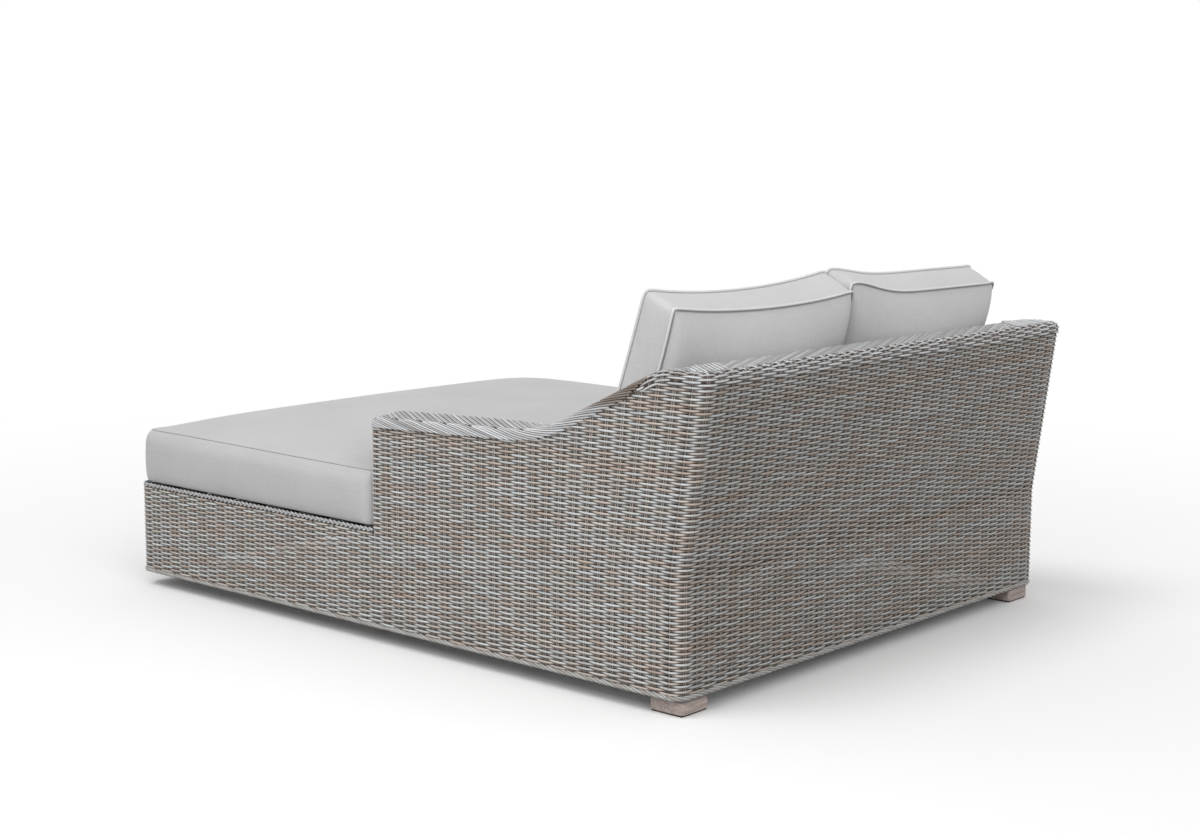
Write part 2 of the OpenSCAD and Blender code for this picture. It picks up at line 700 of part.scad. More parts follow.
// The mattress: T-shaped, its boxing bulging between the seams
module mattress() color("lightgray") seated() {
    rows = len(mattress_rows);
    cols = len(mattress_cols);
    seam_in = boxing_bulge;
    plan = [for (r = mattress_rows, u = mattress_cols) [u * (r[1] - seam_in), r[0]]];
    top = [for (p = plan) [p[0], p[1], mattress_top(p[0] * mattress_wide / (mattress_wide - seam_in), p[1])]];
    bottom = [for (p = plan) [p[0], p[1], seat_h + soft_gap]];
    middle = [for (e = rim(rows, cols)) let (row = floor(e / cols), col = e % cols, r = mattress_rows[row])
        [mattress_cols[col] * r[1], r[0] - (row == 0 ? boxing_bulge : 0), seat_h + boxing_h / 2]];
    soft_form(top, bottom, middle, rows, cols);
}

// A back cushion: edges drawn in between its corners, a crown on both panels, and its
// lower end flat where it stands on the mattress
cushion_grid = [
    -1, -0.985, -0.955, -0.9, -0.82, -0.7, -0.55, -0.35, -0.12,
    0.12, 0.35, 0.55, 0.7, 0.82, 0.9, 0.955, 0.985, 1
];
function crown_share(u, v) = pow((1 - pow(u, 4)) * (1 - pow(v, 4)), 0.6);
function cushion_point(u, v, t) = let (
    x = u * (cushion_w / 2 - draw_in * (1 - pow(v, 2)) * pow(u, 2)),
    h = (v - 1) * cushion_h / 2 - v * draw_in * (1 - pow(u, 2)) * pow(v, 2),
    z = cushion_top_z + h * cos(cushion_lean) - t * sin(cushion_lean)
) [x, -cushion_back + h * sin(cushion_lean) + t * cos(cushion_lean), max(rest_z, z)];

module back_cushion() {
    n = len(cushion_grid);
    half_t = cushion_t / 2;
    front = [for (v = cushion_grid, u = cushion_grid)
        cushion_point(u, v, -half_t - front_crown * crown_share(u, v))];
    rear = [for (v = cushion_grid, u = cushion_grid)
        cushion_point(u, v, half_t + rear_crown * crown_share(u, v))];
    middle = [for (e = rim(n, n)) let (u = cushion_grid[e % n], v = cushion_grid[floor(e / n)])
        cushion_point(1.004 * u, 1.004 * v, 0)];
    soft_form(rear, front, middle, n, n);
}
module back_cushion_left() color("lightgray") seated() translate([cushion_x, 0, 0]) back_cushion();
module back_cushion_right() {
    color("lightgray") seated() right_side() translate([cushion_x, 0, 0]) back_cushion();
}

lower_rail_left();
lower_rail_right();
lower_rail_head();
lower_rail_foot();
upper_rail_left();
upper_rail_right();
upper_rail_head();
upper_rail_foot();
base_posts();
cross_rail();
centre_beam();
centre_posts();
arm_sills();
back_sill();
seat_slats();
arm_rail_outer_left();
arm_rail_outer_right();
arm_rail_inner_left();
arm_rail_inner_right();
arm_posts_left();
arm_posts_right();
arm_ties();
back_top_rail();
back_inner_rail();
back_posts();
back_ties();
foot_plates();
foot_nuts();
foot_screws();
feet();
foot_glides();
side_weave_left();
side_weave_right();
back_base_weave();
back_weave();
foot_end_weave();
arm_inner_weave_left();
arm_inner_weave_right();
back_inner_weave();
arm_front_weave_left();
arm_front_weave_right();
arm_cap_left();
arm_cap_right();
back_cap();
ledge_braid();
hem_braid();
mattress();
back_cushion_left();
back_cushion_right();
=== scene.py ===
import bmesh
import bpy
import json
import math
import numpy as np
from mathutils import Matrix, Vector


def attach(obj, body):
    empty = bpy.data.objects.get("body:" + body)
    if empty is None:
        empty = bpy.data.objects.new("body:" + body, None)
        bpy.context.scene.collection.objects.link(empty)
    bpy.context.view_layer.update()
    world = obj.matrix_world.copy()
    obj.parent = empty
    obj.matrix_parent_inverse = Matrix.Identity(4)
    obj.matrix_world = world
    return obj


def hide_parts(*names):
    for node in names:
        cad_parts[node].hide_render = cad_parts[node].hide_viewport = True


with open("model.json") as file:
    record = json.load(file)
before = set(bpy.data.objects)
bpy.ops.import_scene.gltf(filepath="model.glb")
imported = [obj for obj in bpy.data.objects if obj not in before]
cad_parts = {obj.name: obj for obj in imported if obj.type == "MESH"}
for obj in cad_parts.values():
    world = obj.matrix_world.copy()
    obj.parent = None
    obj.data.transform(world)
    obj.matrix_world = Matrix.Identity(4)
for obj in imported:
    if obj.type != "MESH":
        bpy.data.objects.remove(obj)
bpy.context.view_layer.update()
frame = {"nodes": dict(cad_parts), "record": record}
print("frame loaded")

# Sizes that the pieces share, in mm, with y = 0 at the foot of the back's rear face
bench = {
    "halfWidth": 811.0, "length": 2032.0, "rearY": 985.5, "skirt": 52.0, "floorGap": 40.0,
    "ledge": 305.0, "braid": 14.0, "bend": 318.0, "lean": math.radians(7.5), "corner": 38.0,
    "armLength": 1026.0, "armWidth": 116.0, "armTop": 595.0, "backTop": 800.0, "backDepth": 118.0,
    "capDepth": 26.0, "capLip": 3.0, "capEdge": 18.0, "capNose": 7.0,
}
innerX = bench["halfWidth"] - bench["armWidth"]
underCap = bench["backTop"] - bench["capDepth"]
leanSlope = math.tan(bench["lean"])


# Bench millimetres to the row's metres
def place(points):
    return np.asarray(points, float) * 0.001 + np.array([0, bench["rearY"] * 0.001, 0])


# Points from x, y and z of shapes that fit together
def pointsAt(*axes):
    return np.stack(np.broadcast_arrays(*axes), -1)


# y of a plane at a depth under the back's leaning rear face: the face's line less depth over cos(lean)
def leanY(depth, z):
    return -depth / math.cos(bench["lean"]) + (z - bench["bend"]) * leanSlope


# sRGB hex to linear colour
def hexColour(text):
    c = np.array([int(text[i:i + 2], 16) for i in (0, 2, 4)]) / 255
    lin = np.where(c <= 0.04045, c / 12.92, ((c + 0.055) / 1.055) ** 2.4)
    return (*[float(v) for v in lin], 1.0)


# Adds a node, sets its values by name and links its inputs
def addNode(tree, kind, links=None, inputs=None, **settings):
    made = tree.nodes.new(kind)
    for key, value in settings.items():
        setattr(made, key, value)
    for key, value in (inputs or {}).items():
        made.inputs[key].default_value = value
    for key, source in (links or {}).items():
        tree.links.new(source, made.inputs[key])
    return made


# 0 below t = 0, 1 above t = 1 and 3 t^2 - 2 t^3 between them
def smoothStep(t):
    t = np.clip(t, 0, 1)
    return t * t * (3 - 2 * t)


# Noise on object coordinates, stretched where asked
def objectNoise(tree, scale, detail, stretch=None, distortion=0.0):
    vector = addNode(tree, "ShaderNodeTexCoord").outputs["Object"]
    if stretch:
        vector = addNode(tree, "ShaderNodeMapping", {0: vector}, {"Scale": stretch}).outputs[0]
    return addNode(tree, "ShaderNodeTexNoise", {"Vector": vector},
                   {"Scale": scale, "Detail": detail, "Distortion": distortion}).outputs[0]


# Colours a shader by a value, through a ramp of places and hex colours
def colourBy(tree, shader, value, stops):
    ramp = addNode(tree, "ShaderNodeValToRGB", {0: value})
    points = ramp.color_ramp.elements
    while len(points) < len(stops):
        points.new(0.5)
    for point, (at, text) in zip(points, stops):
        point.position = at
        point.color = hexColour(text)
    tree.links.new(ramp.outputs[0], shader.inputs["Base Color"])


# Raises a surface by a value times distance, in metres
def bumpBy(tree, shader, height, strength, distance):
    bump = addNode(tree, "ShaderNodeBump", {"Height": height}, {"Strength": strength, "Distance": distance})
    tree.links.new(bump.outputs[0], shader.inputs["Normal"])


# A material with its node tree and its shader
def newMaterial(name, roughness, specular=0.5, **extra):
    made = bpy.data.materials.new(name)
    made.use_nodes = True
    shader = made.node_tree.nodes["Principled BSDF"]
    shader.inputs["Roughness"].default_value = roughness
    shader.inputs["Specular IOR Level"].default_value = specular
    for key, value in extra.items():
        shader.inputs[key].default_value = value
    return made, made.node_tree, shader


# A mesh from a part: (n, 3) bench points in mm, (m, 4) corner numbers and, where it has them, uv in
# mm and each point's tone and brightness
def buildPiece(name, part, material, smooth=True):
    points, quads, uv, strand = (*part, None, None)[:4]
    mesh = bpy.data.meshes.new(name)
    # points that no face uses are left out
    kept, quads = np.unique(quads, return_inverse=True)
    quads = quads.reshape(-1, 4).astype(np.int32)
    points = np.asarray(points)[kept]
    uv = None if uv is None else np.asarray(uv)[kept]
    strand = None if strand is None else np.asarray(strand)[kept]
    mesh.vertices.add(len(points))
    mesh.vertices.foreach_set("co", place(points).astype(np.float32).ravel())
    mesh.loops.add(quads.size)
    mesh.loops.foreach_set("vertex_index", quads.ravel())
    mesh.polygons.add(len(quads))
    mesh.polygons.foreach_set("loop_start", np.arange(0, quads.size, 4, dtype=np.int32))
    mesh.polygons.foreach_set("use_smooth", np.full(len(quads), smooth))
    mesh.update(calc_edges=True)
    if uv is not None:
        layer = mesh.uv_layers.new(name="along")
        layer.data.foreach_set("uv", (uv[quads.ravel()] * 0.001).astype(np.float32).ravel())
    if strand is not None:
        values = mesh.attributes.new("strand", "FLOAT_COLOR", "POINT")
        rgba = np.ones((len(points), 4), np.float32)
        rgba[:, :2] = strand
        values.data.foreach_set("color", rgba.ravel())
    # each shell's faces are turned outwards
    shells = bmesh.new()
    shells.from_mesh(mesh)
    bmesh.ops.recalc_face_normals(shells, faces=shells.faces)
    shells.to_mesh(mesh)
    shells.free()
    mesh.materials.append(material)
    piece = bpy.data.objects.new(name, mesh)
    bpy.context.scene.collection.objects.link(piece)
    return piece


# Says which body a piece rides on and hides the CAD nodes that it replaces; slot is not used
def finishPiece(piece, body, slot, *nodes):
    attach(piece, body)
    if nodes:
        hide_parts(*nodes)
    print(piece.name, len(piece.data.polygons), "faces")


# A part from points of any shape, with u, v, tone and brightness spread over them
def partOf(points, quads, u, v, tone, bright):
    uv, strand = (np.stack([np.broadcast_to(a, points.shape[:-1]) for a in pair], -1).reshape(-1, 2)
                  for pair in ((u, v), (tone, bright)))
    return points.reshape(-1, 3), quads, uv, strand


# Several parts as one, the corner numbers of each moved on past the points before it
def joinParts(parts):
    starts = np.cumsum([0] + [len(part[0]) for part in parts[:-1]])
    quads = np.concatenate([part[1] + start for part, start in zip(parts, starts)])
    points, _, *others = (np.concatenate(arrays) for arrays in zip(*parts))
    return (points, quads, *others)


# The mirror image of a piece in x, with its faces turned back outwards
def mirrorPiece(piece, name):
    mesh = piece.data.copy()
    mesh.name = name
    made = bpy.data.objects.new(name, mesh)
    bpy.context.scene.collection.objects.link(made)
    mesh.transform(Matrix.Scale(-1, 4, (1, 0, 0)))
    mesh.flip_normals()
    return made


# Quads between levels of corner numbers, each level a closed ring
def ringQuads(levels):
    nxt = np.roll(levels, -1, 1)
    return np.stack([levels[:-1], levels[1:], nxt[1:], nxt[:-1]], -1).reshape(-1, 4)


# ---- camera, floor and light
camera = {"at": (4.1866, 3.6889, 1.3397), "yaw": 228.871, "pitch": -8.524, "roll": 0.0047, "lens": 59.17}
yaw, pitch = math.radians(camera["yaw"]), math.radians(camera["pitch"])
ahead = Vector((math.sin(yaw) * math.cos(pitch), math.cos(yaw) * math.cos(pitch), math.sin(pitch)))
level = Vector((math.cos(yaw), -math.sin(yaw), 0))
upward = level.cross(ahead)
rolled = level * math.cos(camera["roll"]) + upward * math.sin(camera["roll"])
upward = upward * math.cos(camera["roll"]) - level * math.sin(camera["roll"])
lensData = bpy.data.cameras.new("photoCamera")
lensData.lens, lensData.sensor_width, lensData.sensor_fit = camera["lens"], 36, "HORIZONTAL"
viewer = bpy.data.objects.new("photoCamera", lensData)
facing = Matrix((rolled, upward, -ahead)).transposed().to_4x4()
viewer.matrix_world = Matrix.Translation(camera["at"]) @ facing
bpy.context.scene.collection.objects.link(viewer)
bpy.context.scene.camera = viewer
bpy.context.scene.view_settings.view_transform = "Standard"

studio = {
    "sky": 0.6, "key": 0.85, "keyFrom": (0.5, -0.2, 1.05), "keySpread": 28, "fill": 1.04,
    "fillFrom": (0.42, 0.78, 0.55), "fillSpread": 50, "floor": "F6F6F6", "bounce": "B4B4B4",
    "fadeFrom": 1.6, "fadeTo": 4.2, "panel": 14.5, "panelAt": (2.9, 1.05, 1.45),
    "panelTo": (0.8, 0.75, 0.55), "panelSize": 1.4,
}
world = bpy.data.worlds.new("studio")
bpy.context.scene.world = world
world.use_nodes = True
tree = world.node_tree
rays = addNode(tree, "ShaderNodeLightPath")
seen = addNode(tree, "ShaderNodeMath", {0: rays.outputs["Is Camera Ray"], 1: rays.outputs["Is Glossy Ray"]},
               operation="MAXIMUM")
seen = addNode(tree, "ShaderNodeMath", {0: seen.outputs[0], 1: rays.outputs["Is Transmission Ray"]},
               operation="MAXIMUM")
white = addNode(tree, "ShaderNodeBackground", inputs={"Color": (1, 1, 1, 1), "Strength": 1.0})
soft = addNode(tree, "ShaderNodeBackground", inputs={"Color": (1, 1, 1, 1), "Strength": studio["sky"]})
mixed = addNode(tree, "ShaderNodeMixShader", {0: seen.outputs[0], 1: soft.outputs[0], 2: white.outputs[0]})
tree.links.new(mixed.outputs[0], tree.nodes["World Output"].inputs["Surface"])
for kind in ("key", "fill"):
    lampData = bpy.data.lights.new(kind, "SUN")
    lampData.energy, lampData.angle = studio[kind], math.radians(studio[kind + "Spread"])
    lamp = bpy.data.objects.new(kind, lampData)
    lamp.rotation_euler = Vector(studio[kind + "From"]).to_track_quat("Z", "Y").to_euler()
    bpy.context.scene.collection.objects.link(lamp)

panelData = bpy.data.lights.new("panel", "AREA")
panelData.energy, panelData.size = studio["panel"], studio["panelSize"]
panel = bpy.data.objects.new("panel", panelData)
panel.location = studio["panelAt"]
facing = Vector(studio["panelAt"]) - Vector(studio["panelTo"])
panel.rotation_euler = facing.to_track_quat("Z", "Y").to_euler()
bpy.context.scene.collection.objects.link(panel)

# Painted studio floor: pale and matt near the bed, fading to the white of the backdrop
floorMaterial, tree, shader = newMaterial("paintedStudioFloor", 0.9, 0.1)
shader.inputs["Base Color"].default_value = hexColour(studio["floor"])
coords = addNode(tree, "ShaderNodeTexCoord")
away = addNode(tree, "ShaderNodeVectorMath", {0: coords.outputs["Object"]}, operation="LENGTH")
fade = addNode(tree, "ShaderNodeMapRange", {"Value": away.outputs["Value"]},
               {"From Min": studio["fadeFrom"], "From Max": studio["fadeTo"]},
               interpolation_type="SMOOTHSTEP")
glow = addNode(tree, "ShaderNodeEmission", inputs={"Color": (1, 1, 1, 1), "Strength": 1.0})
mixed = addNode(tree, "ShaderNodeMixShader",
                {0: fade.outputs["Result"], 1: shader.outputs[0], 2: glow.outputs[0]})
# light that bounces up from the floor is dimmer than the floor looks
rays = addNode(tree, "ShaderNodeLightPath")
dim = addNode(tree, "ShaderNodeBsdfDiffuse", inputs={"Color": hexColour(studio["bounce"])})
mixed = addNode(tree, "ShaderNodeMixShader",
                {0: rays.outputs["Is Diffuse Ray"], 1: mixed.outputs[0], 2: dim.outputs[0]})
tree.links.new(mixed.outputs[0], tree.nodes["Material Output"].inputs["Surface"])
floorMesh = bpy.data.meshes.new("floor")
floorMesh.from_pydata([(-60, -60, 0), (60, -60, 0), (60, 60, 0), (-60, 60, 0)], [], [(0, 1, 2, 3)])
floorMesh.materials.append(floorMaterial)
floorPiece = bpy.data.objects.new("floor", floorMesh)
bpy.context.scene.collection.objects.link(floorPiece)
print("camera, floor and light set")

# ---- materials
# Extruded resin strand (polyethylene): matt-satin, with fine drawn lines along its length and a
# colour that drifts between blue-grey and pinkish beige from strand to strand
resin = {"cool": "C3C8C9", "warm": "B5A293", "pale": "D3D6D9", "dusk": "8E7F72", "shade": "3C2E24",
         "rough": 0.42, "drift": 0.22, "lit": 1.15}


# Colour = mix of the painted shade colour and lit * mix(cool, warm, tone + drift) by the strand's
# brightness, which carries painted shade and painted highlight
def resinMaterial(name, cool, warm, rough):
    made, tree, shader = newMaterial(name, rough, 0.45, IOR=1.5)
    mark = addNode(tree, "ShaderNodeAttribute", attribute_name="strand")
    parts = addNode(tree, "ShaderNodeSeparateColor", {0: mark.outputs["Color"]})
    uvMap = addNode(tree, "ShaderNodeUVMap", uv_map="along")
    # lines 0.9 mm apart across the strand, some 60 mm long
    stretch = addNode(tree, "ShaderNodeMapping", {0: uvMap.outputs[0]}, {"Scale": (16, 1100, 1)})
    lines = addNode(tree, "ShaderNodeTexNoise", {"Vector": stretch.outputs[0]},
                    {"Scale": 1.0, "Detail": 2.0}, noise_dimensions="2D")
    drift = addNode(tree, "ShaderNodeMapRange", {"Value": lines.outputs[0]},
                    {"From Min": 0.3, "From Max": 0.7, "To Min": -resin["drift"], "To Max": resin["drift"]})
    tone = addNode(tree, "ShaderNodeMath", {0: parts.outputs[0], 1: drift.outputs["Result"]},
                   operation="ADD", use_clamp=True)
    colour = addNode(tree, "ShaderNodeMix", {0: tone.outputs[0]},
                     {6: hexColour(cool), 7: hexColour(warm)}, data_type="RGBA")
    lit = addNode(tree, "ShaderNodeVectorMath", {0: colour.outputs[2]}, {"Scale": resin["lit"]},
                  operation="SCALE")
    shaded = addNode(tree, "ShaderNodeMix", {0: parts.outputs[1], 7: lit.outputs[0]},
                     {6: hexColour(resin["shade"])}, data_type="RGBA")
    tree.links.new(shaded.outputs[2], shader.inputs["Base Color"])
    bumpBy(tree, shader, lines.outputs[0], 0.35, 0.0004)
    return made


weaveMaterial = resinMaterial("extrudedResinWeave", resin["cool"], resin["warm"], resin["rough"])
braidMaterial = resinMaterial("extrudedResinPlait", resin["pale"], resin["dusk"], resin["rough"])

# Powder-coated aluminium: warm grey paint with a faint orange peel, a little rubbed
coatMaterial, tree, shader = newMaterial("powderCoatedAluminium", 0.48, 0.5, IOR=1.5)
colourBy(tree, shader, objectNoise(tree, 7.0, 4.0), [(0.3, "5A5856"), (0.7, "6A6865")])
bumpBy(tree, shader, objectNoise(tree, 900.0, 2.0), 0.2, 0.0003)

# Zinc-plated steel: bright grey with cloudy spangle
zincMaterial, tree, shader = newMaterial("zincPlatedSteel", 0.34, 0.5, Metallic=1.0)
coords = addNode(tree, "ShaderNodeTexCoord")
spangle = addNode(tree, "ShaderNodeTexVoronoi", {"Vector": coords.outputs["Object"]}, {"Scale": 400.0})
colourBy(tree, shader, spangle.outputs["Distance"], [(0.0, "A9ABAC"), (1.0, "C4C6C7")])

# Moulded polypropylene glide: near-black, finely eroded surface
glideMaterial, tree, shader = newMaterial("mouldedPolypropylene", 0.6, 0.4, IOR=1.49)
colourBy(tree, shader, objectNoise(tree, 1500.0, 3.0), [(0.35, "232323"), (0.7, "323231")])

# Weathered acacia block: greyed pinkish timber, grain along x
woodMaterial, tree, shader = newMaterial("weatheredAcacia", 0.62, 0.35)
grain = objectNoise(tree, 1.0, 6.0, (9, 160, 160), 0.6)
colourBy(tree, shader, grain, [(0.3, "8A7C76"), (0.52, "A89A94"), (0.72, "BDB0AA")])
bumpBy(tree, shader, grain, 0.4, 0.0006)

# Solution-dyed acrylic in a linen weave: threads 1.6 mm apart, drawn coarser than the real 0.5 mm
# so that they show, with slubs and a soft cloudiness
linen = {"light": "BFBFBF", "dark": "ADADAD", "backLight": "C9C9C9", "backDark": "B8B8B8", "thread": 1.6}


# Three sets of threads, one for each axis, added up; their sum and a cloud give the colour
def linenMaterial(name, light, dark):
    made, tree, shader = newMaterial(name, 0.88, 0.25, **{"Sheen Weight": 0.25, "Sheen Roughness": 0.6})
    fine = 1000 / linen["thread"]
    total = None
    for scale in ((fine, 14, fine), (14, fine, fine), (fine, fine, 14)):
        threads = objectNoise(tree, 1.0, 1.0, scale)
        total = threads if total is None else addNode(
            tree, "ShaderNodeMath", {0: total, 1: threads}, operation="ADD").outputs[0]
    level = addNode(tree, "ShaderNodeMath", {0: total, 1: objectNoise(tree, 4.0, 3.0)}, operation="ADD")
    spread = addNode(tree, "ShaderNodeMapRange", {"Value": level.outputs[0]},
                     {"From Min": 1.45, "From Max": 2.55})
    colourBy(tree, shader, spread.outputs["Result"], [(0.0, dark), (1.0, light)])
    bumpBy(tree, shader, total, 0.25, 0.0005)
    return made


linenCloth = linenMaterial("acrylicLinenWeave", linen["light"], linen["dark"])
# painted light: the back cushions get a paler copy of the same cloth, making up for the light their rear
# panels lack
cushionLitCloth = linenMaterial("acrylicLinenWeavePaintedLight", linen["backLight"], linen["backDark"])
# painted highlight: the piping gets a paler copy of the cloth, so that its cord reads as lit
pipingCloth = linenMaterial("acrylicLinenPiping", "DEDEDE", "CECECE")
# dark cloth for the mattress's seam line, and for the cords of painted shadow beside the cushions' piping
seamAndShadowCloth = linenMaterial("acrylicSeamThreadAndShadowLine", "8C8C8C", "7C7C7C")
slots = {s["node"]: s["material_slot"] for s in frame["record"]["subparts"]}
finishes = {"frame_aluminium": coatMaterial, "zinc_steel": zincMaterial, "foot_block": woodMaterial,
            "glide_plastic": glideMaterial}
for node, thing in frame["nodes"].items():
    for filled in thing.material_slots if slots[node] in finishes else ():
        filled.material = finishes[slots[node]]
print("materials made")

# ---- lines of the arm and of the sheets
ogeeLine = {"slope": math.radians(2.4), "riseStart": 537.4, "rise": math.radians(26),
            "hollow": 450.0, "crest": 170.0}


# The arm's top line moved down by d, as y and z: a straight run, a hollow arc, a straight
# rise and a crest arc up to the level back
def armLine(d, steps=16):
    o = ogeeLine
    t = math.tan(o["slope"])
    riseZ = bench["armTop"] + (bench["armLength"] - o["riseStart"]) * t
    cy = -o["riseStart"] - o["hollow"] * math.sin(o["slope"])
    cz = riseZ + o["hollow"] * math.cos(o["slope"])
    endY, endZ = cy + o["hollow"] * math.sin(o["rise"]), cz - o["hollow"] * math.cos(o["rise"])
    kz = bench["backTop"] - o["crest"]
    startZ = kz + o["crest"] * math.cos(o["rise"])
    ky = endY + (startZ - endZ) / math.tan(o["rise"]) + o["crest"] * math.sin(o["rise"])
    a = np.linspace(o["slope"], o["rise"], steps)
    b = np.linspace(o["rise"], 0, steps)
    y = np.concatenate([[-bench["armLength"] - 30], cy + (o["hollow"] + d) * np.sin(a),
                        ky - (o["crest"] - d) * np.sin(b), [200]])
    z = np.concatenate([[bench["armTop"] - 30 * t - d / math.cos(o["slope"])],
                        cz - (o["hollow"] + d) * np.cos(a), kz + (o["crest"] - d) * np.cos(b),
                        [bench["backTop"] - d + 0.01]])
    return y, z


# Plan of a rounded end, from the left side on: a quarter arc of radius r, a straight run and a
# quarter arc; s is the length along it and out the distance outside the face
def roundedPlan(s, out, r, run):
    arc = r * math.pi / 2
    a1, a2 = np.clip(s, 0, arc) / r, np.clip(s - arc - run, 0, arc) / r
    x = bench["halfWidth"] - r - np.clip(s - arc, 0, run) + (r + out) * (np.cos(a1) - np.sin(a2))
    return x, -r + (r + out) * np.where(s > arc + run, np.cos(a2), np.sin(a1))


# Of the tones, a strand has low + span * (its row's 0 or 1) + a normal spread; part is the share of
# runs that change tone. wander lists the waves that a row follows: size, turn for each stake, mm of
# height for each radian and turn for each seed. shift moves the uv from row to row
weave = {
    "row": 6.45, "wide": 6.5, "thick": 2.6, "swing": 2.6, "depth": 3.9, "samples": 6,
    "stakeWide": 4.3, "stakeThick": 2.2, "stakeApart": 5.6, "stakeRings": 9, "wobble": 0.55,
    "wander": ((1.0, 0.83, 41, 1), (1.0, 0.37, -23, 2), (0.5, 2.1, 11, 0)), "shift": (137, 9),
    "sideStakes": 46, "endStakes": 38, "frontStakes": 3, "backInnerStakes": 32, "backSeamRow": 41,
    "run": 7, "part": 0.3, "toneLow": 0.18, "toneSpan": 0.46, "toneSpread": 0.13, "bright": 0.82,
    "brightSpread": 0.07, "gapShade": 0.22, "backShade": 0.7, "stakeTone": (0.3, 0.9),
    "stakeBright": (0.42, 0.6),
}
endRun = 2 * (bench["halfWidth"] - bench["corner"])
endLength = bench["corner"] * math.pi + endRun
sideLength = bench["length"] - 2 * bench["corner"]
sideStep = sideLength / weave["sideStakes"]
endStep = endLength / weave["endStakes"]


# Left side: k counts stakes forward of the rear corner as minus numbers; near the corner the
# stakes follow the lean
def sideFace(k, z, out):
    shift = np.maximum(0, leanY(bench["corner"], z) + bench["corner"])
    y = -bench["corner"] + k * sideStep + shift * np.clip(1 + k / 14, 0, 1) ** 1.5
    return pointsAt(bench["halfWidth"] + out, y, z)


# Outer back: the rounded end, leaning above the bend
def backFace(k, z, out):
    x, y = roundedPlan(k * endStep, out, bench["corner"], endRun)
    return pointsAt(x, np.maximum(leanY(-y, z), y), z)


# Foot end: the rounded end turned to face forward
def footFace(k, z, out):
    x, y = roundedPlan(k * endStep, out, bench["corner"], endRun)
    return pointsAt(x, -bench["length"] - y, z)


frontRound = 9.0
frontRun = bench["armWidth"] - 2 * frontRound
frontLength = frontRun + frontRound * math.pi
frontStep = frontLength / weave["frontStakes"]
innerStep = 42.6


# Left arm's front end and inner skin: a small round, the front, a small round, then straight back
def armFace(k, z, out):
    x, y = roundedPlan(np.minimum(k, weave["frontStakes"]) * frontStep, out, frontRound, frontRun)
    beyond = np.maximum(k - weave["frontStakes"], 0) * innerStep
    return pointsAt(x, -bench["armLength"] - y + beyond, z)


backInnerStep = 2 * innerX / weave["backInnerStakes"]


# Inner back: a leaning flat sheet that faces the seat
def backInnerFace(k, z, out):
    return pointsAt(innerX - k * backInnerStep, leanY(bench["backDepth"], z) - out, z)


# Quads along strands of n rings of p points each; used says which of the n - 1 lengths are
# drawn. A strand of four-sided rings has its two ends closed
def strandQuads(count, n, p, used):
    ring = np.arange(count * n).reshape(count, n) * p
    a, b = ring[:, :-1][used], ring[:, 1:][used]
    j = np.arange(p)
    nxt = (j + 1) % p
    a, b = a[:, None], b[:, None]
    sides = np.stack([a + j, b + j, b + nxt, a + nxt], -1).reshape(-1, 4)
    padded = np.pad(used, ((0, 0), (1, 1)))
    starts = ring[padded[:, 1:] & ~padded[:, :-1]]
    ends = ring[padded[:, :-1] & ~padded[:, 1:]]
    if p != 4:
        return sides
    return np.concatenate([sides, starts[:, None] + j, ends[:, None] + j[::-1]])


# A half-round section, flat at the back: four corners at a share of the width and depth, and
# where they lie across the strand in its uv, in mm
halfRound = np.array([[-0.5, -0.5], [-0.25, 0.42], [0.25, 0.42], [0.5, -0.5]])
sectionV = np.arange(4) * 2.0
# painted shade along a strand's edges, most of all under it,
# and a painted highlight along its upper middle
edgeShade = np.array([0.46, 0.92, 1.06, 0.68])
# painted light: a strand is tinted browner along its lower edge, as shade,
# and bluer along its upper one, as lit
edgeLightTint = np.array([0.34, 0.16, -0.12, -0.2])


# One tone for each row, shared by all sheets; a row seldom repeats the tone of the row below it
changes = np.random.default_rng(1).random(140) < 0.62
rowTone = (np.cumsum(changes) % 2).astype(float)


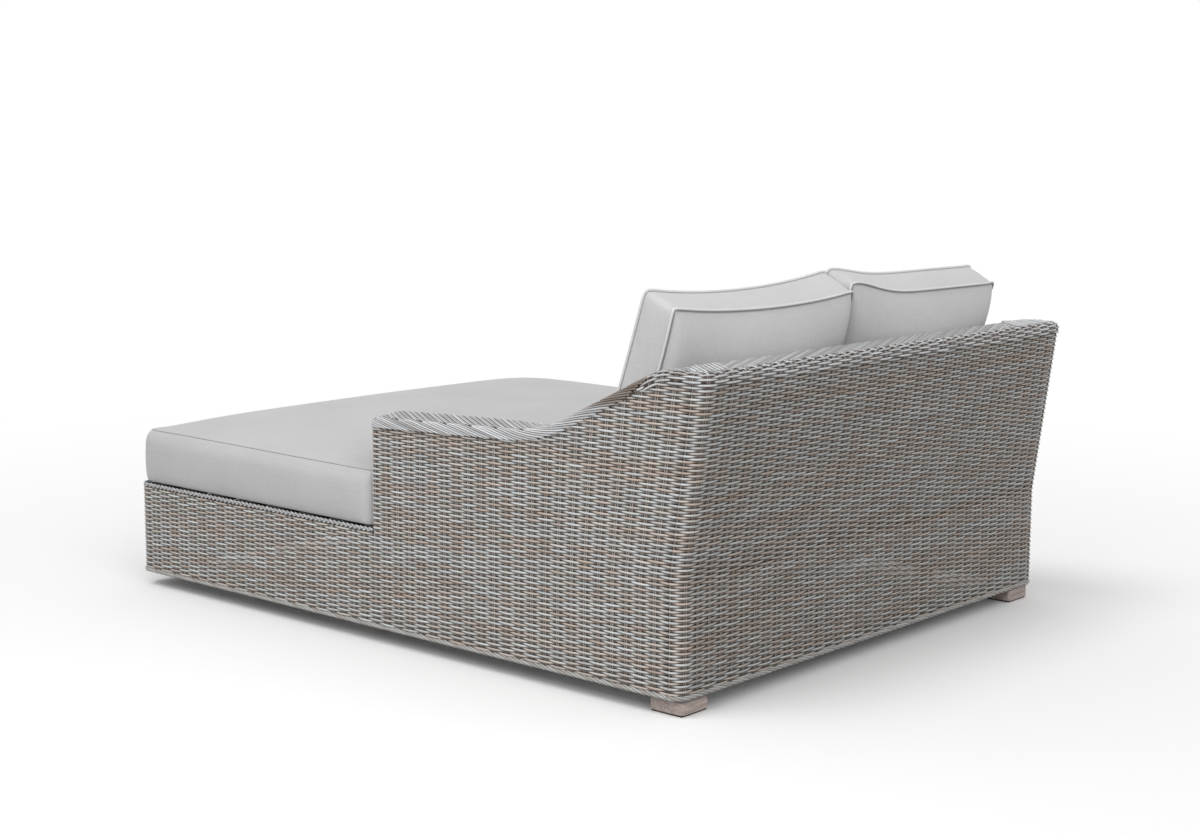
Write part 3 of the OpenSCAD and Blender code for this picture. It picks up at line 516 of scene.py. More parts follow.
# Woven sheet: strands lie in rows, each swinging in front of one stake and behind the next
# (out = depth + swing * flattened cosine of pi k), over pairs of thin upright stakes. Rows run
# from kFirst to kLast and stakes from stakeLow to stakeHigh, each one value or a value for each
def weaveParts(face, step, rows, kFirst, kLast, stakes, stakeLow, stakeHigh, seed, turn=0,
               toneRows=None, dim=1.0):
    rng = np.random.default_rng(seed)
    w = weave
    kFirst, kLast = (np.zeros(len(rows)) + k for k in (kFirst, kLast))
    stakeLow, stakeHigh = (np.zeros(len(stakes)) + z for z in (stakeLow, stakeHigh))
    heights = rowHeight(rows)
    kk = np.arange(math.floor(kFirst.min()), math.ceil(kLast.max()) + 1e-6, 1 / w["samples"])
    k = np.clip(kk, kFirst[:, None], kLast[:, None])
    used = np.diff(k, axis=1) > 1e-6
    wave = np.cos(np.pi * (k + rows[:, None] + turn))
    wave = wave * (1.3 - 0.3 * wave ** 2)
    calm = smoothStep((k - kFirst[:, None]) / 2) * smoothStep((kLast[:, None] - k) / 2)
    z = heights[:, None] + w["wobble"] * calm * sum(
        size * np.sin(pace * k + heights[:, None] / fall + share * seed)
        for size, pace, fall, share in w["wander"])
    across, outward = halfRound[:, 0] * w["wide"], halfRound[:, 1] * w["thick"]
    outward = (-w["depth"] + w["swing"] * wave)[..., None] + outward
    points = face(k[..., None], z[..., None] + across, outward)
    # a strand's floats: its lengths in front of a stake, numbered along the row
    floats = np.floor((k + rows[:, None] + turn + 1) / 2).astype(int)
    floats -= floats.min()
    lengths = floats.max() + 1
    base = rowTone[rows]
    for row, value in (toneRows or {}).items():
        base[rows == row] = value
    fixed = np.isin(rows, list(toneRows or {}))
    run = w["run"]
    parts = rng.random((len(rows), lengths // run + 1)) < w["part"]
    parts[:, [0, -1]] = False
    parts[:, lengths // run - 1] = False
    tone = np.abs(base[:, None] - np.repeat(parts, run, 1)[:, :lengths] * ~fixed[:, None])
    near = np.minimum(np.arange(lengths), lengths - 1 - np.arange(lengths)) < 2
    tone = w["toneLow"] + w["toneSpan"] * tone + rng.normal(0, w["toneSpread"], tone.shape) * ~near
    bright = np.clip(w["bright"] + rng.normal(0, w["brightSpread"], tone.shape) * ~near, 0, 1)
    pick = np.take_along_axis(tone, floats, 1), np.take_along_axis(bright, floats, 1)
    # painted shade: a strand darkens where it dives behind a stake
    sunk = w["gapShade"] + (1 - w["gapShade"]) * smoothStep((wave + 0.95) / 0.9)
    shade = (pick[1] * sunk * (1 - (1 - dim) * calm))[..., None] * edgeShade
    along = (k * step)[..., None] + w["shift"][0] * rows[:, None, None]
    aside = sectionV + w["shift"][1] * rows[:, None, None]
    woven = partOf(points, strandQuads(len(rows), len(kk), 4, used), along, aside,
                   np.clip(pick[0][..., None] + edgeLightTint, 0, 1), shade)
    # stakes: two thin half-round strips side by side
    n = w["stakeRings"]
    level = stakeLow[:, None] + (stakeHigh - stakeLow)[:, None] * np.linspace(0, 1, n)
    across, outward = -halfRound[:, 0] * w["stakeWide"], -w["depth"] + halfRound[:, 1] * w["stakeThick"]
    both = np.concatenate([
        face(stakes[:, None, None] + (side * w["stakeApart"] + across) / step, level[..., None], outward)
        for side in (-0.5, 0.5)])
    count = len(both)
    tone = rng.uniform(*w["stakeTone"], count)[:, None, None]
    bright = rng.uniform(*w["stakeBright"], count)[:, None, None] * dim
    upright = partOf(both, strandQuads(count, n, 4, np.ones((count, n - 1), bool)),
                     np.concatenate([level, level])[..., None], sectionV, tone, bright)
    return joinParts([woven, upright])


# Height of a row's middle: skirt + (number + 1/2) * row
def rowHeight(rows):
    return bench["skirt"] + (rows + 0.5) * weave["row"]


# Numbers of the rows whose middles lie from z0 to z1, both moved up by 0.02 of a row
def rowsBetween(z0, z1):
    first, last = ((z - bench["skirt"]) / weave["row"] - 0.5 + 0.02 for z in (z0, z1))
    return np.arange(math.ceil(first), math.floor(last) + 1)


topY, topZ = armLine(bench["capDepth"])
deck = bench["ledge"] - bench["braid"]
frontK = (-bench["armLength"] + frontRound + bench["corner"]) / sideStep
rows = rowsBetween(bench["skirt"], underCap)
heights = rowHeight(rows)
firstY = np.interp(heights + 2, topZ, topY) - 6
tries = np.linspace(-weave["sideStakes"], 0, 2001)
firstK = np.array([np.interp(y, sideFace(tries, z, 0)[:, 1], tries) for y, z in zip(firstY, heights)])
kStart = np.where(heights < deck, -float(weave["sideStakes"]), np.maximum(frontK, firstK))
stakes = np.arange(-weave["sideStakes"], 0)
high = np.full(len(stakes), bench["armTop"])
for _ in range(4):
    stakeY = sideFace(stakes, high, 0)[:, 1]
    high = np.where(stakeY < -bench["armLength"], deck, np.interp(stakeY, topY, topZ))
topRow = rowsBetween(bench["skirt"], deck)[-1]
part = weaveParts(sideFace, sideStep, rows, kStart, 0, stakes, bench["skirt"], high, 3,
                  toneRows={topRow: 1})
sideLeft = buildPiece("sideWeaveLeft", part, weaveMaterial)
sideRight = mirrorPiece(sideLeft, "sideWeaveRight")
finishPiece(sideLeft, "frame", "resin_weave", "side_weave_left")
finishPiece(sideRight, "frame", "resin_weave", "side_weave_right")


# A sheet round one end of the bed, from z0 up to z1
def endSheet(name, face, z0, z1, seed, toneRows=None, dim=1.0):
    count = weave["endStakes"]
    part = weaveParts(face, endStep, rowsBetween(z0, z1), 0, count, np.arange(count), z0, z1, seed,
                      toneRows=toneRows, dim=dim)
    return buildPiece(name, part, weaveMaterial)


# the seam between the base strip of the back and its leaning part
backSeam = bench["skirt"] + weave["row"] * weave["backSeamRow"]
lastRow = rows[-1]
# painted shade: the back's sheets are made darker as a whole than the lamps alone make them
backBase = endSheet("backBaseWeave", backFace, bench["skirt"], backSeam, 5, None, weave["backShade"])
finishPiece(backBase, "frame", "resin_weave", "back_base_weave")
leaning = endSheet("backWeave", backFace, backSeam, underCap, 6, {lastRow: 0, lastRow - 1: 0},
                   weave["backShade"])
finishPiece(leaning, "frame", "resin_weave", "back_weave")
footEnd = endSheet("footEndWeave", footFace, bench["skirt"], deck, 7, {topRow: 1})
finishPiece(footEnd, "frame", "resin_weave", "foot_end_weave")

rows = rowsBetween(bench["ledge"], underCap)
heights = rowHeight(rows)
frontTop = np.interp(-bench["armLength"], topY, topZ)
firstY = np.interp(heights + 2, topZ, topY)
firstRun = np.maximum(0, firstY - 6 + bench["armLength"] - frontRound)
lastRun = leanY(bench["backDepth"], heights) + bench["armLength"] - frontRound
kStart = np.where(heights < frontTop, 0.0, weave["frontStakes"] + firstRun / innerStep)
kEnd = weave["frontStakes"] + lastRun / innerStep
stakes = np.arange(0, int(kEnd.min()) + 1)
stakeY = -bench["armLength"] + np.maximum(stakes - weave["frontStakes"], 0) * innerStep
high = np.interp(stakeY, topY, topZ)
part = weaveParts(armFace, innerStep, rows, kStart, kEnd, stakes, bench["ledge"], high, 9, turn=1)
armLeft = buildPiece("armInnerWeaveLeft", part, weaveMaterial)
armRight = mirrorPiece(armLeft, "armInnerWeaveRight")
finishPiece(armLeft, "frame", "resin_weave", "arm_inner_weave_left", "arm_front_weave_left")
finishPiece(armRight, "frame", "resin_weave", "arm_inner_weave_right", "arm_front_weave_right")
part = weaveParts(backInnerFace, backInnerStep, rows, 0, weave["backInnerStakes"],
                  np.arange(weave["backInnerStakes"] + 1), bench["ledge"], underCap, 11)
finishPiece(buildPiece("backInnerWeave", part, weaveMaterial), "frame", "resin_weave", "back_inner_weave")
print("weave made")


# ---- plaited caps
# Strands leave a spine along the cap's outer edge: some run down over its side at a low angle,
# others across its top; both advance along the path from the left arm's front to the right.
# Of every four strands one is brighter and the one before it duller; the rise's strands are warmer
# and dimmer; core is the core's tone and brightness, its brightness near nil as painted shade
cap = {
    "strand": 6.1, "thick": 2.3, "pitch": 21.8, "sideAngle": math.radians(15), "topAngle": math.radians(33),
    "backAngle": math.radians(24), "loopAngle": math.radians(51), "loopPitch": 15.0, "loopReach": 170.0,
    "loopBack": 60.0, "skirtFrom": -110.0, "runIn": 380.0, "tuck": 2.0, "sunk": 1.2, "noseCorner": 22.0,
    "crown": 7.0, "mitreStep": 55.0, "overlap": 4.0, "lipRun": 180.0, "lipTone": 0.1, "lipDim": 0.9,
    "coreInset": 3.4, "core": (0.8, 0.02), "brighter": 1.12, "duller": 0.76, "riseWarm": 0.75,
    "riseDim": 0.4, "shift": 61,
}
capFront = leanY(bench["backDepth"], underCap) - bench["capLip"]
capRear = leanY(0, underCap) + bench["capLip"]
capIn, capOut = innerX - bench["capLip"], bench["halfWidth"] + bench["capLip"]
capNose = -bench["armLength"] - bench["capNose"]
turnR = bench["corner"] + bench["capLip"]
edgeR = bench["capEdge"]
roundC = edgeR * math.pi / 2
skirtC = roundC + bench["capDepth"] - edgeR
topLineY, topLineZ = armLine(0, 40)


# Height and slope of the cap's top at y
def capTop(y):
    behind, high, ahead = (np.interp(y + shift, topLineY, topLineZ) for shift in (-3, 0, 3))
    return high, np.arctan((ahead - behind) / 6)


# Quarter round and side by arc length c from the spine: reach outwards, drop, and the normal's angle
def skirtSection(c):
    turn = np.clip(c / edgeR, 0, math.pi / 2)
    reach = edgeR * np.sin(turn) + np.minimum(0, c)
    return reach, edgeR * (1 - np.cos(turn)) + np.maximum(0, c - roundC), turn


# Plan line of the cap's outer edge from the left arm's front to the right rear corner: a short
# way along the inside, round the nose, along the side, round the rear corner and along the back
def edgePlan():
    r, t = cap["noseCorner"], np.linspace(0, math.pi / 2, 9)
    line = [(capIn, capNose + 60)]
    line += [(capIn + r - r * math.cos(q), capNose + r - r * math.sin(q)) for q in t]
    line += [(capOut - r + r * math.sin(q), capNose + r - r * math.cos(q)) for q in t]
    line += [(capOut, y) for y in np.linspace(capNose + r + 20, capRear - turnR, 90)]
    line += [(capOut - turnR + turnR * math.cos(q), capRear - turnR + turnR * math.sin(q)) for q in t[1:]]
    line += [(x, capRear) for x in np.linspace(capOut - turnR - 20, -capOut + turnR, 60)]
    line += [(-capOut + turnR - turnR * math.sin(q), capRear - turnR + turnR * math.cos(q)) for q in t[1:]]
    line = np.array(line)
    rise = np.interp(line[:, 1], topLineY, topLineZ)
    steps = np.hypot(np.hypot(*np.diff(line, axis=0).T), np.diff(rise))
    return line, np.concatenate([[0], np.cumsum(steps)])


edgeLine, edgeS = edgePlan()
edgeOut = np.gradient(edgeLine, axis=0)
edgeOut = np.stack([edgeOut[:, 1], -edgeOut[:, 0]], -1)
edgeOut /= np.linalg.norm(edgeOut, axis=1, keepdims=True)


# Point of the outer skirt: s along the edge line, c down from the spine, out above the surface
def skirtPoint(s, c, out):
    at = np.stack([np.interp(s, edgeS, edgeLine[:, i]) for i in (0, 1)], -1)
    away = np.stack([np.interp(s, edgeS, edgeOut[:, i]) for i in (0, 1)], -1)
    away /= np.linalg.norm(away, axis=-1, keepdims=True)
    reach, drop, turn = skirtSection(c)
    high, slope = capTop(at[..., 1])
    up = -drop + out * np.cos(turn)
    flat = at + away * (reach - edgeR + out * np.sin(turn))[..., None]
    tilt = slope * np.abs(away[..., 0])
    return pointsAt(flat[..., 0], flat[..., 1] - up * np.sin(tilt), high + up * np.cos(tilt))


# Point of an arm's top: y along it, c inwards from the spine and down over the inner edge; the
# plait is a little thicker towards the inside of the low part
def armTopPoint(y, c, out):
    flat = capOut - capIn - 2 * edgeR
    reach, drop, turn = skirtSection(np.maximum(0, c - flat))
    high, slope = capTop(y)
    nose = np.clip((y - capNose) / edgeR, 0, 1)
    fall = edgeR * (1 - np.sqrt(1 - (1 - nose) ** 2))
    thicker = cap["crown"] * smoothStep(c / flat) * smoothStep((-420 - y) / 250)
    up = -drop - fall + thicker + out * np.cos(turn)
    x = capOut - edgeR - np.minimum(c, flat) - reach - out * np.sin(turn)
    return pointsAt(x, y - up * np.sin(slope), high + up * np.cos(slope))


# Point of the back's top: a away from x = 0 towards the right arm, c inwards from the spine
def backTopPoint(a, c, out):
    flat = capRear - capFront - 2 * edgeR
    reach, drop, turn = skirtSection(np.maximum(0, c - flat))
    y = capRear - edgeR - np.minimum(c, flat) - reach - out * np.sin(turn)
    return pointsAt(-a, y, bench["backTop"] - drop + out * np.cos(turn))


# Strands laid on a surface from begin: c grows from a little under 0 to span while a advances by
# span / tan(angle), or goes back where way is -1; keep says which points of the surface a strand
# may have. The strands whose number modulo every is in holed come out of the spine only at
# c = hole, so that a small gap stays open there
def layStrands(surface, begin, span, angle, seed, keep, bright=(0.62, 0.92), tone=(0.08, 0.1), n=22,
               sunk=0.0, sides=(0.12, 0.92, 1.12, 0.22), warmth=None, hole=0.0, holed=(), every=4, way=1):
    rng = np.random.default_rng(seed)
    t = np.linspace(-0.05, 1.02, n)
    advance = way * span / math.tan(angle)
    a = begin[:, None] + advance * t
    c = span * t
    pa = a[..., None] - way * math.sin(angle) * halfRound[:, 0] * cap["strand"]
    pc = c[:, None] + math.cos(angle) * halfRound[:, 0] * cap["strand"]
    # tucked in at the spine and again at the strand's end
    under = cap["tuck"] * (1 - np.clip((t + 0.05) / 0.12, 0, 1)) ** 2 + sunk
    under = under + 4.5 * np.clip((t - 0.92) / 0.1, 0, 1) ** 2
    out = -cap["thick"] * 0.45 - under[:, None] + halfRound[:, 1] * cap["thick"]
    points = surface(pa, pc, out)
    inside = keep(points).all(-1)
    inside[np.isin(np.arange(len(begin)) % every, holed)] &= c > hole
    quads = strandQuads(len(begin), n, 4, inside[:, :-1] & inside[:, 1:])
    quads = quads if way == 1 else quads[:, ::-1]
    warm = np.clip(rng.normal(*tone, len(begin)), 0, 1)
    level = rng.uniform(*bright, len(begin))
    level[::4] *= cap["brighter"]
    level[3::4] *= cap["duller"]
    if warmth is not None:
        share = warmth(begin)
        warm = warm + cap["riseWarm"] * share
        level = level * (1 - cap["riseDim"] * share)
    # painted shade at the spine and along the strand's edges, and a painted highlight along its middle
    dusk = 0.35 + 0.65 * smoothStep((t + 0.04) / 0.12)
    along = (t * advance)[:, None] + cap["shift"] * np.arange(len(begin))[:, None, None]
    return partOf(points, quads, along, sectionV, warm[:, None, None],
                  level[:, None, None] * dusk[:, None] * np.array(sides))


# Core under the strands, near black: painted shade where it shows between them. It is a grid over
# the plan whose top follows the cap's top and rounds down towards the plan's edges, with the same grid
# below it. An arm's is pulled in on the rounds of its outer rear corner and of the nose's two corners
def capCore(xs, ys, clear):
    gx, gy = np.meshgrid(xs, ys, indexing="ij")
    arm = xs[0] > 0
    d = np.minimum(capRear - gy, gy - (capNose if arm else capFront))
    if arm:
        d = np.minimum(d, np.minimum(gx - capIn, capOut - gx))
        r = cap["noseCorner"]
        for cx, cy, sx, sy, r in ((capOut - turnR, capRear - turnR, 1, 1, turnR),
                                  (capOut - r, capNose + r, 1, -1, r), (capIn + r, capNose + r, -1, -1, r)):
            px, py = (gx - cx) * sx, (gy - cy) * sy
            far = np.maximum(np.hypot(px, py), 1e-6)
            corner = (px > 0) & (py > 0)
            pull = np.where(corner & (far > r - clear), (r - clear) / far, 1.0)
            gx, gy = cx + sx * px * pull, cy + sy * py * pull
            d = np.where(corner, np.minimum(d, r - far * pull), d)
    d = d - clear
    fall = edgeR * (1 - np.sqrt(np.maximum(0, 1 - (1 - np.clip(d / edgeR, 0, 1)) ** 2)))
    high, slope = capTop(gy)
    upper = np.stack([gx, gy, high - clear - np.minimum(fall, bench["capDepth"] - clear - 2)], -1)
    lower = np.stack([gx, gy, high - (bench["capDepth"] - 1) / np.cos(slope)], -1)
    r, q = gx.shape
    at = np.arange(r * q).reshape(r, q)
    top = np.stack([at[:-1, :-1], at[1:, :-1], at[1:, 1:], at[:-1, 1:]], -1).reshape(-1, 4)
    rim = np.concatenate([at[:-1, 0], at[-1, :-1], at[:0:-1, -1], at[0, :0:-1]])
    nxt = np.roll(rim, -1)
    sides = np.stack([rim, rim + r * q, nxt + r * q, nxt], -1)
    points = np.concatenate([upper.reshape(-1, 3), lower.reshape(-1, 3)])
    quads = np.concatenate([top, top[:, ::-1] + r * q, sides])
    return partOf(points, quads, *points[:, :2].T, *cap["core"])


# Pale stitches that bind the back cap at its spine
stitch = {"length": 15.0, "wide": 5.0, "thick": 2.0, "lean": 13.0, "rings": 6, "high": 0.9, "spread": 0.8,
          "tone": 0.05, "bright": (0.75, 0.95), "sides": (0.7, 1, 1, 0.7)}


# Short slanting loops on a surface, each out = high * (sin(pi t) - 1) along its length
def stitches(surface, count, seed):
    rng = np.random.default_rng(seed)
    n = stitch["rings"]
    t = np.linspace(0, 1, n)
    a = stitch["lean"] * t[:, None] + rng.normal(0, stitch["spread"], (count, 1, 1))
    a = a + halfRound[:, 0] * stitch["wide"]
    c = stitch["length"] * t[:, None]
    out = stitch["high"] * np.sin(math.pi * np.clip(t, 0.02, 0.98))[:, None] - stitch["high"]
    points = surface(a, c, out + halfRound[:, 1] * stitch["thick"])
    # painted shade: each stitch is darker along its edges
    bright = rng.uniform(*stitch["bright"], (count, 1, 1)) * np.array(stitch["sides"])
    quads = strandQuads(count, n, 4, np.ones((count, n - 1), bool))
    return partOf(points, quads, c, sectionV, stitch["tone"], bright)


# Which side of the mitre a point lies on: a line from a corner's inside to its outside, where
# it ends mitreStep forward of the corner; the line is moved back by slack
def beyondMitre(points, side, slack):
    x, y = side * points[..., 0], points[..., 1] - capFront - slack
    return y * (capOut - capIn) > (x - capIn) * (capRear - cap["mitreStep"] - capFront)


# Inside the flat top's rounded rear corners
def onFlat(points):
    px, py = np.abs(points[..., 0]) - (capOut - turnR), points[..., 1] - (capRear - turnR)
    return ~((px > 0) & (py > 0) & (np.hypot(px, py) > turnR - edgeR + 6))


# What an arm's strands may cover: forward of the mitre, with a little overlap
def armHalf(points):
    beyond = beyondMitre(points, 1, cap["overlap"]) & (points[..., 1] > capFront)
    return (points[..., 1] > capNose + 1) & ~beyond & onFlat(points)


# What the back's strands may cover: between the two mitres
def backHalf(points):
    near = (points[..., 0] < capIn) | beyondMitre(points, 1, -cap["overlap"])
    far = (points[..., 0] > -capIn) | beyondMitre(points, -1, -cap["overlap"])
    return near & far & onFlat(points) & (np.abs(points[..., 0]) < capOut - edgeR + 1)


# Points of the edge line along the arm's side, and where the rise lies on it
alongSide = slice(20, 110)
riseFrom, riseTo = (np.interp(y, edgeLine[alongSide, 1], edgeS[alongSide])
                    for y in (-ogeeLine["riseStart"] + 150, -70))


# How far a strand is in the rise, whose strands are browner, as the lip there is
def riseWarmth(s):
    return smoothStep((s - riseFrom) / 90) * smoothStep((riseTo - s) / 60)


# the middle of the rear corner's round, which is 1 - cos(45 degrees) of its radius further in
cornerX, cornerY = capOut - turnR * 0.293, capRear - turnR * 0.293
cornerS = edgeS[np.argmin(np.hypot(edgeLine[:, 0] - cornerX, edgeLine[:, 1] - cornerY))]
topSpan = capOut - capIn - 2 * edgeR + skirtC
backSpan = capRear - capFront - 2 * edgeR + skirtC


# From just inside the nose to where the woven lip begins; there the strands end one by one
def armSkirt(points):
    inner = (points[..., 0] < capIn + 1) & (points[..., 1] > capNose + 40)
    drop = capTop(points[..., 1])[0] - points[..., 2]
    return ~inner & (points[..., 1] < capRear - turnR - cap["lipRun"] + 3 * (32 - drop))


skirtRun = np.arange(cap["skirtFrom"], cornerS, cap["pitch"])
# where the same steps fall on the arm's length, so that both layers leave the spine together
straight = slice(21, 111)
armRun = np.where(skirtRun > edgeS[21], np.interp(skirtRun, edgeS[straight], edgeLine[straight, 1]),
                  edgeLine[21, 1] + skirtRun - edgeS[21])
armRun = np.concatenate([armRun, armRun[-1] + cap["pitch"] * np.arange(1, 13)])
backFrom = edgeS[np.argmin(np.abs(edgeLine[:, 1] - (capRear - turnR)) + 9 * (edgeLine[:, 0] < 0))]
lipStep = (edgeS[-1] - backFrom) / weave["endStakes"]


# The back cap's side as a sheet: k counts the back's stakes, z goes up over the side and the round
def lipFace(k, z, out):
    return skirtPoint(backFrom + np.asarray(k) * lipStep, skirtC - (z - underCap), np.asarray(out) + 0.2)


# Woven rows of the lip from first to last
def lipParts(rows, first, last, seed):
    stakes = np.arange(math.ceil(np.min(first)), last)
    return weaveParts(lipFace, lipStep, rows, first, last, stakes, underCap - 2, underCap + skirtC + 1, seed,
                      toneRows={row: cap["lipTone"] for row in rows}, dim=cap["lipDim"])


lipRows = rowsBetween(underCap - 3, underCap + skirtC)
armRows = np.append(lipRows, lipRows[-1] + 1)
lipFirst = -cap["lipRun"] / lipStep + 0.2 * np.arange(len(armRows))
cornerK = (cornerS - backFrom) / lipStep
inset = cap["coreInset"]
coreX = np.linspace(capIn + inset, capOut - inset, 15)
coreY = np.linspace(capNose + inset, capRear - inset, 130)
armCap = joinParts([
    capCore(coreX, coreY, inset),
    lipParts(armRows, lipFirst, cornerK, 37),
    layStrands(skirtPoint, skirtRun, skirtC, cap["sideAngle"], 21, armSkirt, warmth=riseWarmth, hole=7.0,
               holed=(0,)),
    layStrands(armTopPoint, armRun, topSpan, cap["topAngle"], 22, armHalf, (0.52, 0.76), n=40,
               sides=(0.3, 0.95, 1.12, 0.4), hole=3.0, holed=(0,), way=-1),
    layStrands(armTopPoint, armRun + cap["pitch"] / 2, topSpan, cap["topAngle"], 23, armHalf, (0.5, 0.62),
               (0.15, 0.1), 40, cap["sunk"], (0.3, 0.95, 1.1, 0.4), hole=3.0, holed=(0, 3), way=-1)])
capLeft = buildPiece("armCapLeft", armCap, braidMaterial)
capRight = mirrorPiece(capLeft, "armCapRight")
finishPiece(capLeft, "frame", "resin_braid", "arm_cap_left")
finishPiece(capRight, "frame", "resin_braid", "arm_cap_right")

backRun = np.arange(-capOut - cap["runIn"], capOut, cap["strand"] / math.sin(cap["backAngle"]))
# loops of the turn, over the first stretch of the back's top by either corner
loopRun = np.arange(0, cap["loopReach"], cap["loopPitch"])
loopRun = np.concatenate([loopRun - capOut, capOut - loopRun]) - cap["loopBack"]
lipStakes = np.arange(1.0, weave["endStakes"] - 1)
spineS = backFrom + lipStakes * lipStep
coreX, coreY = np.linspace(-capIn - 2, capIn + 2, 8), np.linspace(capFront + inset, capRear - inset, 24)
backTop = joinParts([
    capCore(coreX, coreY, inset + 3),
    lipParts(lipRows, cornerK, weave["endStakes"] - cornerK, 36),
    layStrands(backTopPoint, backRun, backSpan, cap["backAngle"], 32, backHalf, (0.5, 0.8), n=40,
               sides=(0.4, 0.95, 1, 0.5), hole=3.5, holed=(0,), every=2),
    layStrands(backTopPoint, loopRun, backSpan, cap["loopAngle"], 33, backHalf, (0.95, 1.1), n=40,
               sunk=-1.6),
    stitches(lambda a, c, out: skirtPoint(spineS[:, None, None] - 9 + a, c - 1, out), len(spineS), 35)])
print("caps made")

# ---- rope braid along the ledge, plaited hem, and a small rope along each mitre
braid = {"depth": 6.0, "under": 7.2, "lay": 52.0, "swing": 4.1, "rise": 2.4, "radius": 2.9, "count": 3,
         "twisted": False, "step": 3.2, "tones": (0.02, 0.2, 0.1), "seed": 41}
hem = {"depth": 5.2, "above": 7.0, "lay": 88.0, "swing": 3.9, "rise": 3.9, "radius": 3.1, "count": 4,
       "twisted": True, "step": 5.0, "tones": (0.02, 0.5, 0.1, 0.35), "seed": 43}
mitreRope = {"under": 2.0, "lay": 34.0, "swing": 1.3, "rise": 1.5, "radius": 2.1, "count": 2,
             "twisted": True, "step": 3.0, "tones": (0.05, 0.2), "seed": 38}
ropeSides = 6


# Path round the bed at a depth inside its outer face, as points and the length up to each
def roundPath(depth, withBack):
    r, w, foremost = bench["corner"], bench["halfWidth"], -bench["length"]
    end = r - depth
    q = np.linspace(0, math.pi / 2, 10)
    # left side from the rear to the foot, the foot end, and back up the right side
    left = [(w - depth, -r if withBack else -bench["armLength"])]
    c1 = [(w - r + end * math.cos(t), foremost + r - end * math.sin(t)) for t in q]
    c2 = [(-x, y) for x, y in c1[::-1]]
    right = [(-x, y) for x, y in left]
    line = left + c1 + c2 + right
    if withBack:
        b1 = [(-w + r - end * math.cos(t), -r + end * math.sin(t)) for t in q]
        line += b1 + [(-x, y) for x, y in b1[::-1]] + left
    line = np.array(line)
    s = np.concatenate([[0], np.cumsum(np.linalg.norm(np.diff(line, axis=0), axis=1))])
    return line, s


# Rope of several strands about a path: strand i goes up and down by swing * sin(turn + i), and
# in and out by rise * sin(2 (turn + i)) for a flat plait or rise * cos(turn + i) for a twisted rope
def ropeParts(line, s, level, rope):
    rng = np.random.default_rng(rope["seed"])
    count, radius = rope["count"], rope["radius"]
    n = int(s[-1] / rope["step"]) + 1
    at = np.linspace(0, s[-1], n)
    centre = np.stack([np.interp(at, s, line[:, i]) for i in (0, 1)], -1)
    tangent = np.gradient(centre, axis=0)
    tangent /= np.linalg.norm(tangent, axis=1, keepdims=True)
    normal = np.stack([-tangent[:, 1], tangent[:, 0]], -1)
    turn = 2 * math.pi * (at[None] / rope["lay"] + np.arange(count)[:, None] / count)
    upward = rope["swing"] * np.sin(turn)
    sideways = rope["rise"] * (np.cos(turn) if rope["twisted"] else np.sin(2 * turn))
    ring = 2 * math.pi * np.arange(ropeSides) / ropeSides
    offset = sideways[..., None] + radius * np.cos(ring)
    high = level + upward[..., None] + radius * np.sin(ring)
    xy = centre[None, :, None] + normal[None, :, None] * offset[..., None]
    points = np.concatenate([xy, high[..., None]], -1)
    quads = strandQuads(count, n, len(ring), np.ones((count, n - 1), bool))
    # shaded where the strand passes inside the rope, and on its lower edge
    bright = rng.uniform(0.56, 0.7, (count, 1, 1)) * (
        0.4 + 0.6 * smoothStep((sideways / rope["rise"] + 1) / 1.2))[..., None] * (
            0.78 + 0.22 * np.sin(ring + 0.3))
    return partOf(points, quads, at[:, None], ring * radius, np.array(rope["tones"])[:, None, None], bright)


# a small rope covers the strands' ends along each mitre
inner = np.array([capIn - 3, capFront - 1.0])
outer = np.array([capOut - edgeR, capRear - cap["mitreStep"] - 3])
outer[1] -= (capRear - cap["mitreStep"] - capFront) * edgeR / (capOut - capIn)
mitreLine = inner + (outer - inner) * np.linspace(0, 1, 12)[:, None]
mitreS = np.linspace(0, float(np.linalg.norm(outer - inner)), 12)
ropes = [ropeParts(mitreLine * (side, 1), mitreS, bench["backTop"] - mitreRope["under"], mitreRope)
         for side in (1, -1)]
backCap = buildPiece("backCap", joinParts([backTop] + ropes), braidMaterial)
finishPiece(backCap, "frame", "resin_braid", "back_cap")
ledge = ropeParts(*roundPath(braid["depth"], False), bench["ledge"] - braid["under"], braid)
finishPiece(buildPiece("ledgeBraid", ledge, braidMaterial), "frame", "resin_braid", "ledge_braid")
lower = ropeParts(*roundPath(hem["depth"], True), bench["floorGap"] + hem["above"], hem)
finishPiece(buildPiece("hemBraid", lower, weaveMaterial), "frame", "resin_braid", "hem_braid")
print("braids made")

# ---- feet
foot = {"edge": 3.0, "sides": 48, "corner": 0.035}


# Square block: a square with rounded corners carried up, drawn in at both ends by a small
# quarter round, and closed by strips below and above
def footBlock(low, high):
    centre = (low[:2] + high[:2]) / 2
    half = (high[:2] - low[:2]) / 2
    n = foot["sides"]
    t = 2 * np.pi * (np.arange(n) + 0.5) / n
    square = np.stack([np.cos(t), np.sin(t)], -1)
    square /= np.max(np.abs(square), 1, keepdims=True)
    square *= 1 - foot["corner"] * (np.min(np.abs(square), 1, keepdims=True) ** 6)
    q = np.linspace(0, math.pi / 2, 5)
    inset = np.concatenate([foot["edge"] * (1 - np.sin(q)), foot["edge"] * (1 - np.cos(q))])
    z = np.concatenate([low[2] + foot["edge"] * (1 - np.cos(q)), high[2] - foot["edge"] * (1 - np.sin(q))])
    rings = centre + square[None] * (half - inset[:, None])[:, None, :]
    height = np.broadcast_to(z[:, None, None], rings.shape[:2] + (1,))
    points = np.concatenate([rings, height], -1).reshape(-1, 3)
    levels = np.arange(len(z) * n).reshape(-1, n)
    j = np.arange(n // 2 - 1)
    lid = np.stack([j, n - 1 - j, n - 2 - j, j + 1], -1)
    sides = np.roll(ringQuads(levels)[:, ::-1], 1, 1)
    return points, np.concatenate([sides, lid[:, ::-1], lid + levels[-1, 0]]), points[:, :2]


